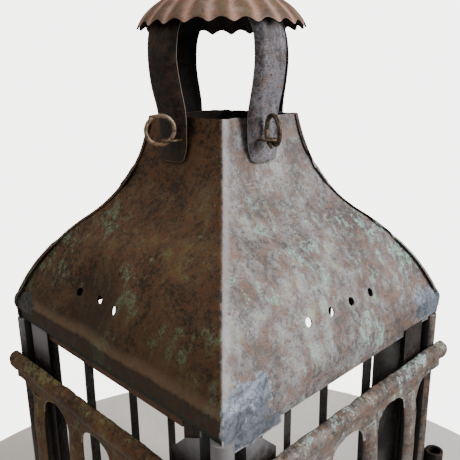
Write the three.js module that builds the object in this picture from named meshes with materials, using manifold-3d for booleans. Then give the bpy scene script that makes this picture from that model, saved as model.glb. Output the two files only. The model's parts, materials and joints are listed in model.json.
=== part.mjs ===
// A square sheet-metal candle lantern, in millimetres, +Z up.
// The origin is the centre of the base's flat underside. The sides are named as seen from -Y:
// front (-Y), right (+X), back (+Y, with the door) and left (-X).
import * as THREE from "three";
import { mergeVertices } from "three/addons/utils/BufferGeometryUtils.js";
import Module from "manifold-3d";

const wasm = await Module();
wasm.setup();

// ---- driving dimensions ----

const gap = 0.3; // clearance between pieces that are soldered or rest on each other
const sheet = 1; // thickness of the roof, cap and guard sheet

const eavesHalf = 100; // half the side of the roof at its bottom edge
const eavesHeight = 250; // bottom edge of the roof above the base's underside
const skirtHeight = 10; // near-upright band round the bottom of the roof
const skirtTuck = 2; // how far the skirt leans in at its top
const roofHeight = 132;
const neckHalf = 32; // half the side of the square neck
const bellyHalf = 61.7; // half side where the roof turns from hollow to full
const bellyHeight = 69.7;
const skirtPull = [3.3, 24.6]; // control points of the two curves: inwards, and up or down
const bellyPullBelow = [11.5, 9.8];
const bellyPullAbove = [18.6, 15.8];
const neckPull = [2.8, 21.2];
const seamLap = 4; // width of the lapped seam on two of the hips

const ventRadius = 2.4;
const ventSpacing = 19;
const ventHeight = 32;
const ventsPerSide = { front: 3, right: 4, back: 4, left: 4 };
const ventShift = { front: -14, right: 0, back: 0, left: 0 };
const ventCut = 12; // how far the cutters reach to each side of the sheet

const postPlane = 98; // outer face of the corner posts' fins, from the axis
const postSheet = 1.2;
const postWidth = 36; // how far a post reaches along each side from its corner
const slimWidth = 18; // reach of the front left post along the left side
const beadRadius = 5.4; // round bead down the corner of a post
const beadCentre = 2.4; // its centre, in from the corner both ways
const grooveDepth = 6; // groove between the bead and the fin
const grooveEnd = 15;
const finShoulder = [
  [grooveEnd, 4.6],
  [25.5, 9.3],
  [postWidth + 1, 20.5],
]; // cut-off top of a fin: distance from the corner, and below the eaves

const channelSheet = 0.9; // folded channels that hold the glass
const channelReach = 11.5; // width of a channel
const slimReach = 5; // width of the one behind the slim fin
const glassThickness = 2;
const slack = 0.4; // clearance between the glass, its channels and what is before and behind them

const headRailDrop = 6; // window-head rails show this far below the eaves
const headRailRise = 4;
const headRailHalf = 69.2;
const headRailFlange = 7;

const barWidth = 7;
const barThickness = 1.5;
const barSpacing = 37;
const barsPerWindow = 4;

const guardDrop = { front: 25, right: 20 }; // top of the guard rail below the eaves
const railRadius = 6.2; // half-round rail
const railOverrun = 106; // free end of a rail, from the middle of its side
const archCrown = 20.5; // crown of the arches below the rail's top
const archRise = 9.5;
const archFoot = 3; // straight drop below the springing
const balusterSpacing = 47;
const balusterShift = -4.5; // the row of balusters stands off centre
const balustersPerSide = 4;
const balusterWidth = 14;
const balusterDepth = 5;
const footWidth = 17; // width of the arcade between two arches
const guardSillHeight = 12;
const railBite = 0.2; // the flat of a rail is sunk this far into the sheet behind it

const baseHalf = 112;
const baseHeight = 16;
const baseSheet = 1.5;

const strapWidth = 25;
const strapSheet = 1.2;
const strapShift = -4; // the straps stand a little off the middle of their sides
const strapChannel = 3.2; // how far a strap's edges turn in
const strapEdge = 4; // width of a turned edge
const strapSteps = 14;
const strapPath = [
  [40.2, 107],
  [40.4, 120],
  [41.2, 134],
  [44.8, 152],
  [46, 166],
  [44, 179],
  [38, 188.5],
  [28, 194.5],
]; // outer face of a strap: distance from the axis, height above the eaves

const capRadius = 50;
const capRimHeight = 183.2; // above the eaves
const capRise = 22;
const capFullness = 0.75; // 0.5 would be an ellipse, and 1 a parabola
const fluteCount = 24;
const fluteDepth = 3.4;
const flutePhase = 8.5; // degrees

const crownEyeHeight = 11; // centre of the crown's eye above the cap
const crownEyeRadius = 5;
const crownWire = 1.7;
const hangRingRadius = 17;
const hangRingWire = 1.8;
const hangRingDroop = 20; // degrees below level when it lies against the cap

const strapEyeHeight = 120; // above the eaves
const strapEyeReach = 5; // centre of the eye, out from the strap
const strapEyeShift = { front: 4.8, right: -8.5, back: -4, left: -4 }; // along the strap's width
const strapEyeRadius = 4.2;
const strapEyeWire = 0.8;
const ringRadius = 7.8;
const ringWire = 1.25;
const ringLift = { front: 46, right: 46, back: -45, left: -45 }; // degrees above level at rest
const ringTwist = { front: -42, right: -27, back: -18, left: -18 }; // degrees about the upright

const hingeAxis = 104.8; // door hinge's centre from the lantern's axis, both ways
const knuckleRadius = 6.2;
const knuckleBore = 4.3;
const knuckleHeight = 12;
const pinShort = 4; // the pin ends this far below the top of the door's knuckle
const hingeTops = { upper: 108, lower: 190 }; // below the eaves
const leafEnd = 66; // a hinge leaf ends this far from the middle of the door
const leafFoot = 86; // and its packing against the frame starts here
const leafSheet = 1.6;
const webHalf = 1.5;
const doorSheet = 1.3;
const doorHalf = 80;
const doorHingeSide = 88;
const doorTop = 3; // below the eaves
const doorBottom = 8; // above the floor
const doorBorder = 14;
const doorLip = 2.6; // the frame's lip in front of the door's glass
const doorDepth = 9.2;
const finClearance = 1; // between the door's tray and the post fins

const latchHeight = 130; // below the eaves
const latchX = 72;
const latchSheet = 1.2;
const latchBore = 2.1;
const latchReach = 21; // from the rivet to the middle of the button's round end
const latchRootRadius = 5;
const latchEndRadius = 3.5;
const collarRadius = 3.4;
const rivetHeadRadius = 4;
const rivetHeadHeight = 2;
const keeperHalf = 7;
const keeperFoot = 96; // the keeper's leg ends here, on the post
const keeperLip = 91; // and its lip starts here, from the middle of the door

const dripPanRadius = 32;
const socketRadius = 12.5;
const socketHeight = 26;
const dripPanHeight = 6;
const panSheet = 1.2; // thickness of the drip pan and of the socket's floor

// ---- values worked out from them ----

const floorTop = baseHeight + gap + baseSheet;
const standOn = floorTop + gap; // where posts, channels and glass stand
const finInside = postPlane - postSheet;
const channelFront = finInside - slack;
const glassFront = channelFront - channelSheet - slack;
const channelBack = glassFront - glassThickness - slack;
const barFront = channelBack - channelSheet - slack;
const channelTop = eavesHeight - 1;
const channelOuter = postPlane - grooveEnd - postSheet - slack;
const guardPlane = postPlane - beadCentre + beadRadius + gap; // inner face of the guards
const capTop = eavesHeight + capRimHeight + capRise;

// ---- helpers ----

function toSolid(geometry) {
  const plain = geometry.clone();
  plain.deleteAttribute("normal");
  plain.deleteAttribute("uv");
  const merged = mergeVertices(plain, 1e-4);
  return new wasm.Manifold(
    new wasm.Mesh({
      numProp: 3,
      vertProperties: merged.attributes.position.array,
      triVerts: new Uint32Array(merged.index.array),
    }),
  );
}

function toGeometry(solid) {
  const mesh = solid.getMesh();
  const geometry = new THREE.BufferGeometry();
  geometry.setAttribute("position", new THREE.BufferAttribute(mesh.vertProperties, 3));
  geometry.setIndex(new THREE.BufferAttribute(mesh.triVerts, 1));
  const flat = geometry.toNonIndexed();
  flat.computeVertexNormals();
  return flat;
}

function join(first, ...others) {
  return toGeometry(others.reduce((sum, other) => sum.add(toSolid(other)), toSolid(first)));
}

function cut(first, ...others) {
  return toGeometry(others.reduce((sum, other) => sum.subtract(toSolid(other)), toSolid(first)));
}

function block(x, y, z) {
  const box = new THREE.BoxGeometry(x[1] - x[0], y[1] - y[0], z[1] - z[0]);
  return box.translate((x[0] + x[1]) / 2, (y[0] + y[1]) / 2, (z[0] + z[1]) / 2);
}

function shapeOf(points) {
  return new THREE.Shape(points.map(([x, y]) => new THREE.Vector2(x, y)));
}

// A flat outline in X and Y, drawn up between two heights.
function prism(points, bottom, top) {
  const solid = new THREE.ExtrudeGeometry(shapeOf(points), {
    depth: top - bottom,
    bevelEnabled: false,
  });
  return solid.translate(0, 0, bottom);
}

// A shape drawn in X and Z that fills from y = from to y = to.
function panel(shape, from, to) {
  const solid = new THREE.ExtrudeGeometry(shape, {
    depth: to - from,
    bevelEnabled: false,
    curveSegments: 8,
  });
  return solid.rotateX(Math.PI / 2).translate(0, to, 0);
}

function rod(radius, from, to, sides) {
  const solid = new THREE.CylinderGeometry(radius, radius, to - from, sides);
  return solid.rotateX(Math.PI / 2).translate(0, 0, (from + to) / 2);
}

function tube(outer, inner, from, to, sides) {
  const profile = [
    new THREE.Vector2(inner, from),
    new THREE.Vector2(outer, from),
    new THREE.Vector2(outer, to),
    new THREE.Vector2(inner, to),
    new THREE.Vector2(inner, from),
  ];
  return new THREE.LatheGeometry(profile, sides).rotateX(Math.PI / 2);
}

function turned(profile, sides) {
  const points = profile.map(([r, z]) => new THREE.Vector2(r, z));
  return new THREE.LatheGeometry(points, sides).rotateX(Math.PI / 2);
}

function mapVertices(geometry, move) {
  const place = geometry.attributes.position;
  const point = new THREE.Vector3();
  for (let i = 0; i < place.count; i += 1) {
    point.fromBufferAttribute(place, i);
    move(point);
    place.setXYZ(i, point.x, point.y, point.z);
  }
  geometry.computeVertexNormals();
  return geometry;
}

const root = new THREE.Group();

function turnedGroup(quarterTurns) {
  const group = new THREE.Group();
  group.rotation.z = (quarterTurns * Math.PI) / 2;
  root.add(group);
  return group;
}

// Each side's pieces are drawn as the front side's are, facing -Y, and turned about Z.
const sides = {
  front: turnedGroup(0),
  right: turnedGroup(1),
  back: turnedGroup(2),
  left: turnedGroup(3),
};

// Each corner's post is drawn at +X, -Y and turned about Z.
const corners = {
  front_right: turnedGroup(0),
  back_right: turnedGroup(1),
  back_left: turnedGroup(2),
  front_left: turnedGroup(3),
};

function finish(color, roughness, metalness) {
  return () => new THREE.MeshStandardMaterial({ color, roughness, metalness });
}

const roofIron = finish(0x6b5a4e, 0.75, 0.45);
const darkIron = finish(0x2b231d, 0.8, 0.4);
const greyIron = finish(0x6a6668, 0.7, 0.5);
const capIron = finish(0x8a6a5a, 0.8, 0.4);
const railIron = finish(0x77736a, 0.7, 0.45);
const wireIron = finish(0x8c7a5e, 0.6, 0.6);
const plainGlass = () =>
  new THREE.MeshStandardMaterial({
    color: 0xdfe8e4,
    roughness: 0.15,
    metalness: 0,
    transparent: true,
    opacity: 0.3,
  });

function add(parent, name, geometry, material) {
  const mesh = new THREE.Mesh(geometry, material());
  mesh.name = name;
  parent.add(mesh);
  return mesh;
}

// ---- roof: two folded sheets that meet in lapped seams on two hips ----

const skirtTop = new THREE.Vector2(eavesHalf - skirtTuck, skirtHeight);
const belly = new THREE.Vector2(bellyHalf, bellyHeight);
const fullCurve = new THREE.CubicBezierCurve(
  skirtTop,
  new THREE.Vector2(skirtTop.x - skirtPull[0], skirtTop.y + skirtPull[1]),
  new THREE.Vector2(belly.x + bellyPullBelow[0], belly.y - bellyPullBelow[1]),
  belly,
);
const hollowCurve = new THREE.CubicBezierCurve(
  belly,
  new THREE.Vector2(belly.x - bellyPullAbove[0], belly.y + bellyPullAbove[1]),
  new THREE.Vector2(neckHalf + neckPull[0], roofHeight - neckPull[1]),
  new THREE.Vector2(neckHalf, roofHeight),
);
const roofRows = [
  new THREE.Vector2(eavesHalf, 0),
  ...fullCurve.getPoints(5),
  ...hollowCurve.getPoints(5).slice(1),
];

function roofHalfAt(height) {
  for (let i = 1; i < roofRows.length; i += 1) {
    const below = roofRows[i - 1];
    const above = roofRows[i];
    if (height <= above.y) {
      const share = (height - below.y) / (above.y - below.y);
      return below.x + share * (above.x - below.x);
    }
  }
  return neckHalf;
}

// The outline is drawn at the neck, and each row of it is pushed out to the profile.
function roofSheet(outline) {
  const steps = roofRows.length - 1;
  const solid = new THREE.ExtrudeGeometry(shapeOf(outline), {
    depth: steps,
    steps,
    bevelEnabled: false,
  });
  return mapVertices(solid, (point) => {
    const row = roofRows[Math.round(point.z)];
    const push = row.x - neckHalf;
    point.x += Math.sign(point.x) * push;
    point.y += Math.sign(point.y) * push;
    point.z = eavesHeight + row.y;
  });
}

function ventHoles(side, quarterTurns) {
  const holes = [];
  for (let i = 0; i < ventsPerSide[side]; i += 1) {
    const along = (i - (ventsPerSide[side] - 1) / 2) * ventSpacing + ventShift[side];
    const middle = roofHalfAt(ventHeight);
    const hole = rod(ventRadius, middle - ventCut, middle + ventCut, 12);
    hole.rotateX(Math.PI / 2).translate(along, 0, eavesHeight + ventHeight);
    holes.push(hole.rotateZ((quarterTurns * Math.PI) / 2));
  }
  return holes;
}

function makeRoof() {
  const s = neckHalf;
  const inner = s - sheet;
  const lapInner = s + gap;
  const lapOuter = s + gap + sheet;
  const frontRight = [
    [-inner + gap, -s],
    [s, -s],
    [s, inner - gap],
    [inner, inner - gap],
    [inner, -inner],
    [-inner + gap, -inner],
  ];
  const backLeft = [
    [-s + seamLap, -lapOuter],
    [-s, -lapOuter],
    [-s, s],
    [lapOuter, s],
    [lapOuter, s - seamLap],
    [lapInner, s - seamLap],
    [lapInner, inner],
    [-inner, inner],
    [-inner, -lapInner],
    [-s + seamLap, -lapInner],
  ];
  const frontRightVents = [...ventHoles("front", 0), ...ventHoles("right", 1)];
  const backLeftVents = [...ventHoles("back", 2), ...ventHoles("left", 3)];
  add(root, "roof_front_right", cut(roofSheet(frontRight), ...frontRightVents), roofIron);
  add(root, "roof_back_left", cut(roofSheet(backLeft), ...backLeftVents), roofIron);
}

// ---- corner posts ----

function postOutline(frontReach) {
  const half = [
    [grooveEnd, 0],
    [grooveEnd, grooveDepth],
    [beadCentre + beadRadius, grooveDepth],
  ];
  const arcSteps = 5;
  for (let i = 0; i < arcSteps; i += 1) {
    const angle = (i / arcSteps) * 0.75 * Math.PI;
    half.push([
      beadCentre + beadRadius * Math.cos(angle),
      beadCentre - beadRadius * Math.sin(angle),
    ]);
  }
  const tip = beadCentre - beadRadius * Math.SQRT1_2;
  const back = [
    [grooveDepth + postSheet, grooveDepth + postSheet],
    [grooveEnd + postSheet, grooveDepth + postSheet],
    [grooveEnd + postSheet, postSheet],
  ];
  const frontSide = ([along, deep]) => [postPlane - along, -(postPlane - deep)];
  const rightSide = ([along, deep]) => [postPlane - deep, -(postPlane - along)];
  return [
    frontSide([frontReach, 0]),
    ...half.map(frontSide),
    frontSide([tip, tip]),
    ...half.map(rightSide).reverse(),
    rightSide([postWidth, 0]),
    rightSide([postWidth, postSheet]),
    ...back.map(rightSide).reverse().slice(0, -1),
    ...back.map(frontSide),
    frontSide([frontReach, postSheet]),
  ];
}

// The second cutter is the mirror image of the first, for the post's other side.
function shoulderCutter(sign) {
  const outline = finShoulder.map(([along, drop]) => [postPlane - along, eavesHeight - drop]);
  outline.push([postPlane - postWidth - 1, eavesHeight + 1]);
  outline.push([postPlane - grooveEnd, eavesHeight + 1]);
  const mirrored = outline.map(([x, z]) => [sign * x, z]);
  return panel(shapeOf(mirrored), -postPlane - 1, -finInside + 0.1);
}

function makePosts() {
  const top = eavesHeight - 0.5;
  const whole = prism(postOutline(postWidth), standOn, top);
  const slim = prism(postOutline(slimWidth), standOn, top);
  const shouldered = cut(whole, shoulderCutter(1), shoulderCutter(-1).rotateZ(Math.PI / 2));
  const shapes = {
    front_right: shouldered,
    back_right: whole,
    back_left: shouldered,
    front_left: slim,
  };
  for (const [corner, group] of Object.entries(corners)) {
    add(group, `corner_post_${corner}`, shapes[corner].clone(), darkIron);
  }
}

// ---- windows ----

function glazingChannel(sign, reach) {
  const outerX = channelOuter;
  const back = channelBack - channelSheet;
  const section = [
    [outerX, -channelFront],
    [outerX, -back],
    [outerX - reach, -back],
    [outerX - reach, -channelBack],
    [outerX - channelSheet, -channelBack],
    [outerX - channelSheet, -channelFront + channelSheet],
    [outerX - reach, -channelFront + channelSheet],
    [outerX - reach, -channelFront],
  ].map(([x, y]) => [sign * x, y]);
  return prism(section, standOn, channelTop);
}

function headRail() {
  const low = eavesHeight - headRailDrop;
  const high = eavesHeight + headRailRise;
  const face = -(finInside - gap);
  const upright = block([-headRailHalf, headRailHalf], [face, face + sheet], [low, high]);
  const flange = block(
    [-headRailHalf, headRailHalf],
    [face, face + headRailFlange],
    [high - sheet, high],
  );
  return join(upright, flange);
}

function windowBar(index) {
  const middle = (index - (barsPerWindow - 1) / 2) * barSpacing;
  const span = [middle - barWidth / 2, middle + barWidth / 2];
  return { span, depth: [-barFront, -barFront + barThickness] };
}

function makeWindows() {
  const glassHalf = channelOuter - channelSheet - gap;
  const glassTop = eavesHeight + headRailRise - sheet - gap;
  for (const side of ["front", "right", "left"]) {
    const group = sides[side];
    add(group, `glazing_channel_${side}_a`, glazingChannel(-1, channelReach), darkIron);
    const reach = side === "left" ? slimReach : channelReach;
    add(group, `glazing_channel_${side}_b`, glazingChannel(1, reach), darkIron);
    const pane = block(
      [-glassHalf, glassHalf],
      [-glassFront, -glassFront + glassThickness],
      [standOn, glassTop],
    );
    add(group, `glass_${side}`, pane, plainGlass);
  }
  for (const side of Object.keys(sides)) {
    add(sides[side], `head_rail_${side}`, headRail(), darkIron);
  }
  for (let i = 0; i < barsPerWindow; i += 1) {
    const { span, depth } = windowBar(i);
    const bar = block(span, depth, [standOn, glassTop]);
    add(sides.left, `window_bar_left_${i + 1}`, bar, darkIron);
  }
}

// ---- guards: arcaded galleries in front of the front and right windows ----

function balusterCentres() {
  const centres = [];
  for (let i = 0; i < balustersPerSide; i += 1) {
    centres.push((i - (balustersPerSide - 1) / 2) * balusterSpacing + balusterShift);
  }
  return centres;
}

// The sheet under the rail, with a half-ellipse cut out between each two balusters.
function arcadeShape(from, to, top) {
  const crown = top - archCrown;
  const spring = crown - archRise;
  const foot = spring - archFoot;
  const shape = new THREE.Shape();
  const centres = balusterCentres();
  const halfFoot = footWidth / 2;
  const halfSpan = (balusterSpacing - footWidth) / 2;
  shape.moveTo(from, top - railRadius);
  shape.lineTo(from, crown);
  shape.lineTo(centres[0] - halfFoot - halfSpan, crown);
  centres.forEach((centre, i) => {
    const isFirst = i === 0;
    const isLast = i === centres.length - 1;
    if (isFirst) {
      shape.absellipse(
        centre - halfFoot - halfSpan, spring, halfSpan, archRise, Math.PI / 2, 0, true,
      );
    }
    shape.lineTo(centre - halfFoot, foot);
    shape.lineTo(centre + halfFoot, foot);
    shape.lineTo(centre + halfFoot, spring);
    const endAngle = isLast ? Math.PI / 2 : 0;
    shape.absellipse(
      centre + halfFoot + halfSpan, spring, halfSpan, archRise, Math.PI, endAngle, true,
    );
  });
  shape.lineTo(to, crown);
  shape.lineTo(to, top - railRadius);
  shape.closePath();
  return shape;
}

function halfRound(radius, from, to, centreZ, faceY) {
  const outline = new THREE.Shape();
  outline.absarc(0, 0, radius, -Math.PI / 2, Math.PI / 2, false);
  outline.closePath();
  const solid = new THREE.ExtrudeGeometry(outline, {
    depth: to - from,
    bevelEnabled: false,
    curveSegments: 7,
  });
  // the round side, drawn towards +X, is turned to face -Y, and the length to lie along X
  solid.applyMatrix4(
    new THREE.Matrix4().makeBasis(
      new THREE.Vector3(0, -1, 0),
      new THREE.Vector3(0, 0, -1),
      new THREE.Vector3(1, 0, 0),
    ),
  );
  return solid.translate(from, faceY, centreZ);
}

// Takes off what lies past the corner's diagonal, so that two guards meet in a mitre.
function mitreCutter(sign) {
  const reach = 60;
  const keep = guardPlane - gap;
  const outline = [
    [sign * keep, -guardPlane],
    [sign * (keep + reach), -guardPlane - reach],
    [sign * (keep + reach), -guardPlane + reach],
    [sign * keep, -guardPlane + reach],
  ];
  return prism(outline, 0, eavesHeight);
}

function makeGuard(side, cornerSign) {
  const top = eavesHeight - guardDrop[side];
  const reach = guardPlane + sheet + railRadius;
  const from = cornerSign > 0 ? -railOverrun : -reach;
  const to = cornerSign > 0 ? reach : railOverrun;
  const outer = -(guardPlane + sheet);
  const arcade = panel(arcadeShape(from, to, top), outer, -guardPlane);
  const rail = halfRound(railRadius, from, to, top - railRadius, outer + railBite);
  const backing = block([from, to], [outer, -guardPlane], [top - 2 * railRadius, top]);
  const upper = cut(join(arcade, rail, backing), mitreCutter(cornerSign));
  add(sides[side], `guard_rail_${side}`, upper, railIron);

  const sillTop = standOn + guardSillHeight;
  const sillFace = block([from, to], [outer, -guardPlane], [standOn, sillTop]);
  const sillRadius = railRadius - sheet;
  const sillRail = halfRound(sillRadius, from, to, standOn + sillRadius, outer + railBite);
  const sill = cut(join(sillFace, sillRail), mitreCutter(cornerSign));
  add(sides[side], `guard_sill_${side}`, sill, railIron);

  const balusterTop = top - archCrown - archRise - archFoot - gap;
  balusterCentres().forEach((centre, i) => {
    const baluster = prism(balusterOutline(centre), sillTop + gap, balusterTop);
    add(sides[side], `baluster_${side}_${i + 1}`, baluster, railIron);
  });
}

// A shallow half-round channel, open towards the window.
function balusterOutline(centre) {
  const outline = [];
  const steps = 8;
  for (let i = 0; i <= steps; i += 1) {
    const angle = (i / steps) * Math.PI;
    outline.push([
      centre - (balusterWidth / 2) * Math.cos(angle),
      -guardPlane - balusterDepth * Math.sin(angle),
    ]);
  }
  for (let i = steps; i >= 0; i -= 1) {
    const angle = (i / steps) * Math.PI;
    outline.push([
      centre - (balusterWidth / 2 - sheet) * Math.cos(angle),
      -guardPlane - (balusterDepth - sheet) * Math.sin(angle),
    ]);
  }
  return outline;
}

// ---- straps that carry the cap, and their wire rings ----

const strapCurve = new THREE.CatmullRomCurve3(
  strapPath.map(([out, up]) => new THREE.Vector3(0, -out, eavesHeight + up)),
  false,
  "centripetal",
);

function strapOutAt(height) {
  let best = strapPath[0][0];
  for (let i = 0; i <= 100; i += 1) {
    const point = strapCurve.getPoint(i / 100);
    if (point.z <= eavesHeight + height) best = -point.y;
  }
  return best;
}

// A flat strip is bent along the curve, with its two edges turned in towards the lantern.
function strapGeometry() {
  const half = strapWidth / 2;
  const flat = half - strapEdge;
  const section = [
    [-half, 0],
    [-flat, 0],
    [flat, 0],
    [half, 0],
    [half, strapSheet],
    [flat, strapSheet],
    [-flat, strapSheet],
    [-half, strapSheet],
  ];
  const solid = new THREE.ExtrudeGeometry(shapeOf(section), {
    depth: strapSteps,
    steps: strapSteps,
    bevelEnabled: false,
  });
  return mapVertices(solid, (point) => {
    const share = point.z / strapSteps;
    const place = strapCurve.getPoint(share);
    const along = strapCurve.getTangent(share);
    const turnIn = (strapChannel * Math.max(0, Math.abs(point.x) - flat)) / strapEdge;
    const beaten = Math.min(1, 0.15 + 3 * share); // the edges are beaten flat at the foot
    const taper = Math.min(1, 0.8 + 2 * share); // and the foot is narrower
    const deep = point.y + turnIn * beaten;
    point.set(
      point.x * taper + strapShift,
      place.y + along.z * deep,
      place.z - along.y * deep,
    );
  });
}

function eyeCentre(side) {
  return new THREE.Vector3(
    strapEyeShift[side],
    -(strapOutAt(strapEyeHeight) + strapEyeReach),
    eavesHeight + strapEyeHeight,
  );
}

function strapEye(side) {
  const centre = eyeCentre(side);
  const loop = new THREE.TorusGeometry(strapEyeRadius, strapEyeWire, 8, 16);
  loop.translate(centre.x, centre.y, centre.z);
  const stem = rod(strapEyeWire + 0.4, 0, strapEyeReach - strapEyeRadius + 1, 8);
  stem.rotateX(Math.PI / 2).translate(centre.x, centre.y + strapEyeReach + 0.6, centre.z);
  return [loop, stem];
}

function makeStraps() {
  for (const [side, group] of Object.entries(sides)) {
    add(group, `strap_${side}`, join(strapGeometry(), ...strapEye(side)), greyIron);
    const ring = new THREE.TorusGeometry(ringRadius, ringWire, 8, 24);
    ring.rotateY(Math.PI / 2);
    const lift = THREE.MathUtils.degToRad(ringLift[side]);
    ring.translate(0, -ringRadius * Math.cos(lift), ringRadius * Math.sin(lift));
    const mesh = add(group, `strap_ring_${side}`, ring, wireIron);
    mesh.rotation.z = THREE.MathUtils.degToRad(ringTwist[side]);
    mesh.position.copy(eyeCentre(side));
  }
}

// ---- fluted cap and crown ----

function fluteDip(x, y) {
  const angle = Math.atan2(y, x) - THREE.MathUtils.degToRad(flutePhase);
  const wave = Math.abs(Math.sin((fluteCount / 2) * angle));
  const share = Math.hypot(x, y) / capRadius;
  return fluteDepth * share * share * (1 - wave);
}

function makeCap() {
  const profile = [];
  const rings = 6;
  for (let i = 0; i <= rings; i += 1) {
    const share = Math.cos((i / rings) * (Math.PI / 2));
    profile.push([capRadius * share, capRise * (1 - share * share) ** capFullness]);
  }
  profile[rings][0] = 0;
  const inside = profile.map(([r, z]) => [Math.max(r - (r > 0 ? 0.4 : 0), 0), z - sheet]);
  const closed = [...inside.reverse(), ...profile];
  const solid = turned(closed, fluteCount * 4);
  solid.rotateZ(THREE.MathUtils.degToRad(flutePhase));
  mapVertices(solid, (point) => {
    point.z += eavesHeight + capRimHeight - fluteDip(point.x, point.y);
  });
  add(root, "cap", solid, capIron);
}

// A turned boss on the cap, with the eye that carries the hanging ring on top of it.
function makeCrown() {
  const bottom = capTop + gap;
  const boss = turned(
    [
      [0, 0],
      [9, -0.4],
      [9, 1.4],
      [6, 2.6],
      [4.2, 4.6],
      [3.4, 7],
      [0, 7],
    ],
    20,
  );
  boss.translate(0, 0, bottom + 0.4);
  const eye = new THREE.TorusGeometry(crownEyeRadius, crownWire, 8, 20);
  eye.rotateX(Math.PI / 2).translate(0, 0, capTop + crownEyeHeight);
  add(root, "crown_eye", join(boss, eye), capIron);

  const droop = THREE.MathUtils.degToRad(hangRingDroop);
  const ring = new THREE.TorusGeometry(hangRingRadius, hangRingWire, 8, 32);
  ring.translate(-hangRingRadius, 0, 0).rotateY(-droop);
  const mesh = add(root, "hanging_ring", ring, wireIron);
  mesh.position.z = capTop + crownEyeHeight;
}

// ---- base, drip pan and candle socket ----

function makeBase() {
  const wall = [-baseHalf, baseHalf];
  const hollow = [-baseHalf + baseSheet, baseHalf - baseSheet];
  const pan = cut(
    block(wall, wall, [0, baseHeight]),
    block(hollow, hollow, [baseSheet, baseHeight + 1]),
  );
  add(root, "base_pan", pan, roofIron);
  const floor = block(wall, wall, [baseHeight + gap, floorTop]);
  add(root, "floor_plate", floor, roofIron);
  const dish = turned(
    [
      [0, 0],
      [dripPanRadius - 5, 0],
      [dripPanRadius, dripPanHeight],
      [dripPanRadius - 1.3, dripPanHeight],
      [dripPanRadius - 6, panSheet],
      [0, panSheet],
    ],
    32,
  );
  const cup = turned(
    [
      [0, 0],
      [socketRadius, 0],
      [socketRadius, socketHeight],
      [socketRadius - sheet, socketHeight],
      [socketRadius - sheet, panSheet],
      [0, panSheet],
    ],
    24,
  );
  add(root, "candle_holder", join(dish, cup).translate(0, 0, standOn), darkIron);
}

// ---- door in the back side, hinged on the back right post ----

const doorLow = floorTop + doorBottom;
const doorHigh = eavesHeight - doorTop;
const doorOuter = -(postPlane + gap + doorSheet);
const trayHalf = postPlane - postWidth - finClearance;
const leafInner = -(guardPlane + 0.1);

function ringPanel(outer, hole, y) {
  return cut(block(outer.x, y, outer.z), block(hole.x, [y[0] - 1, y[1] + 1], hole.z));
}

function doorFrame() {
  const trayZ = [doorLow + doorBorder - doorSheet, doorHigh - doorBorder + doorSheet];
  const windowHalf = trayHalf - doorSheet - doorLip;
  const flange = ringPanel(
    { x: [-doorHingeSide, doorHalf], z: [doorLow, doorHigh] },
    {
      x: [-windowHalf, windowHalf],
      z: [trayZ[0] + doorSheet + doorLip, trayZ[1] - doorSheet - doorLip],
    },
    [doorOuter, doorOuter + doorSheet],
  );
  const tray = ringPanel(
    { x: [-trayHalf, trayHalf], z: trayZ },
    {
      x: [-trayHalf + doorSheet, trayHalf - doorSheet],
      z: [trayZ[0] + doorSheet, trayZ[1] - doorSheet],
    },
    [doorOuter + 0.5, doorOuter + doorDepth],
  );
  const rivetHole = rod(latchBore, -doorOuter - 3, -doorOuter + 3, 16);
  rivetHole.rotateX(Math.PI / 2).translate(latchX, 0, eavesHeight - latchHeight);
  return cut(join(flange, tray, ...hingeLeaves()), rivetHole);
}

function hingeLeaves() {
  const pieces = [];
  for (const drop of Object.values(hingeTops)) {
    const z = [eavesHeight - drop - knuckleHeight, eavesHeight - drop];
    const nearKnuckle = -hingeAxis + (knuckleRadius + knuckleBore) / 2;
    pieces.push(block([nearKnuckle, -leafEnd], [leafInner - leafSheet, leafInner], z));
    pieces.push(block([-leafFoot, -leafEnd], [leafInner - slack, doorOuter + slack], z));
    const knuckle = tube(knuckleRadius, knuckleBore, z[0], z[1], 20);
    pieces.push(knuckle.translate(-hingeAxis, -hingeAxis, 0));
  }
  return pieces;
}

// The fixed half of a hinge: a knuckle soldered to the post's bead, with the pin standing in it.
function hingePintle(top) {
  const bottom = top - knuckleHeight;
  const toBead = (hingeAxis - postPlane + beadCentre) * Math.SQRT2 - beadRadius - gap;
  const barrel = rod(knuckleRadius, bottom, top, 20);
  const pin = rod(knuckleBore - gap, bottom, top + knuckleHeight - pinShort, 20);
  const web = block([knuckleBore, toBead], [-webHalf, webHalf], [bottom, top]);
  web.rotateZ(Math.PI / 4);
  return join(barrel, pin, web).translate(-hingeAxis, -hingeAxis, 0);
}

function latchButton() {
  const outline = new THREE.Shape();
  outline.moveTo(0, -latchRootRadius);
  outline.lineTo(latchReach, -latchEndRadius);
  outline.absarc(latchReach, 0, latchEndRadius, -Math.PI / 2, Math.PI / 2, false);
  outline.lineTo(0, latchRootRadius);
  outline.absarc(0, 0, latchRootRadius, Math.PI / 2, (3 * Math.PI) / 2, false);
  const hole = new THREE.Path();
  hole.absarc(0, 0, latchBore, 0, 2 * Math.PI, false);
  outline.holes.push(hole);
  return panel(outline, -latchSheet, 0);
}

function latchRivet(collar) {
  const shank = latchBore - gap;
  const underHead = collar + latchSheet + 2 * gap;
  const sunk = 0.2; // the shank stops short of the door's inner face
  return turned(
    [
      [0, sunk],
      [shank, sunk],
      [shank, doorSheet + gap],
      [collarRadius, doorSheet + gap],
      [collarRadius, collar],
      [shank, collar],
      [shank, underHead],
      [rivetHeadRadius, underHead],
      [rivetHeadRadius * 0.75, underHead + rivetHeadHeight * 0.8],
      [0, underHead + rivetHeadHeight],
    ],
    16,
  ).rotateX(Math.PI / 2);
}

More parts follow.
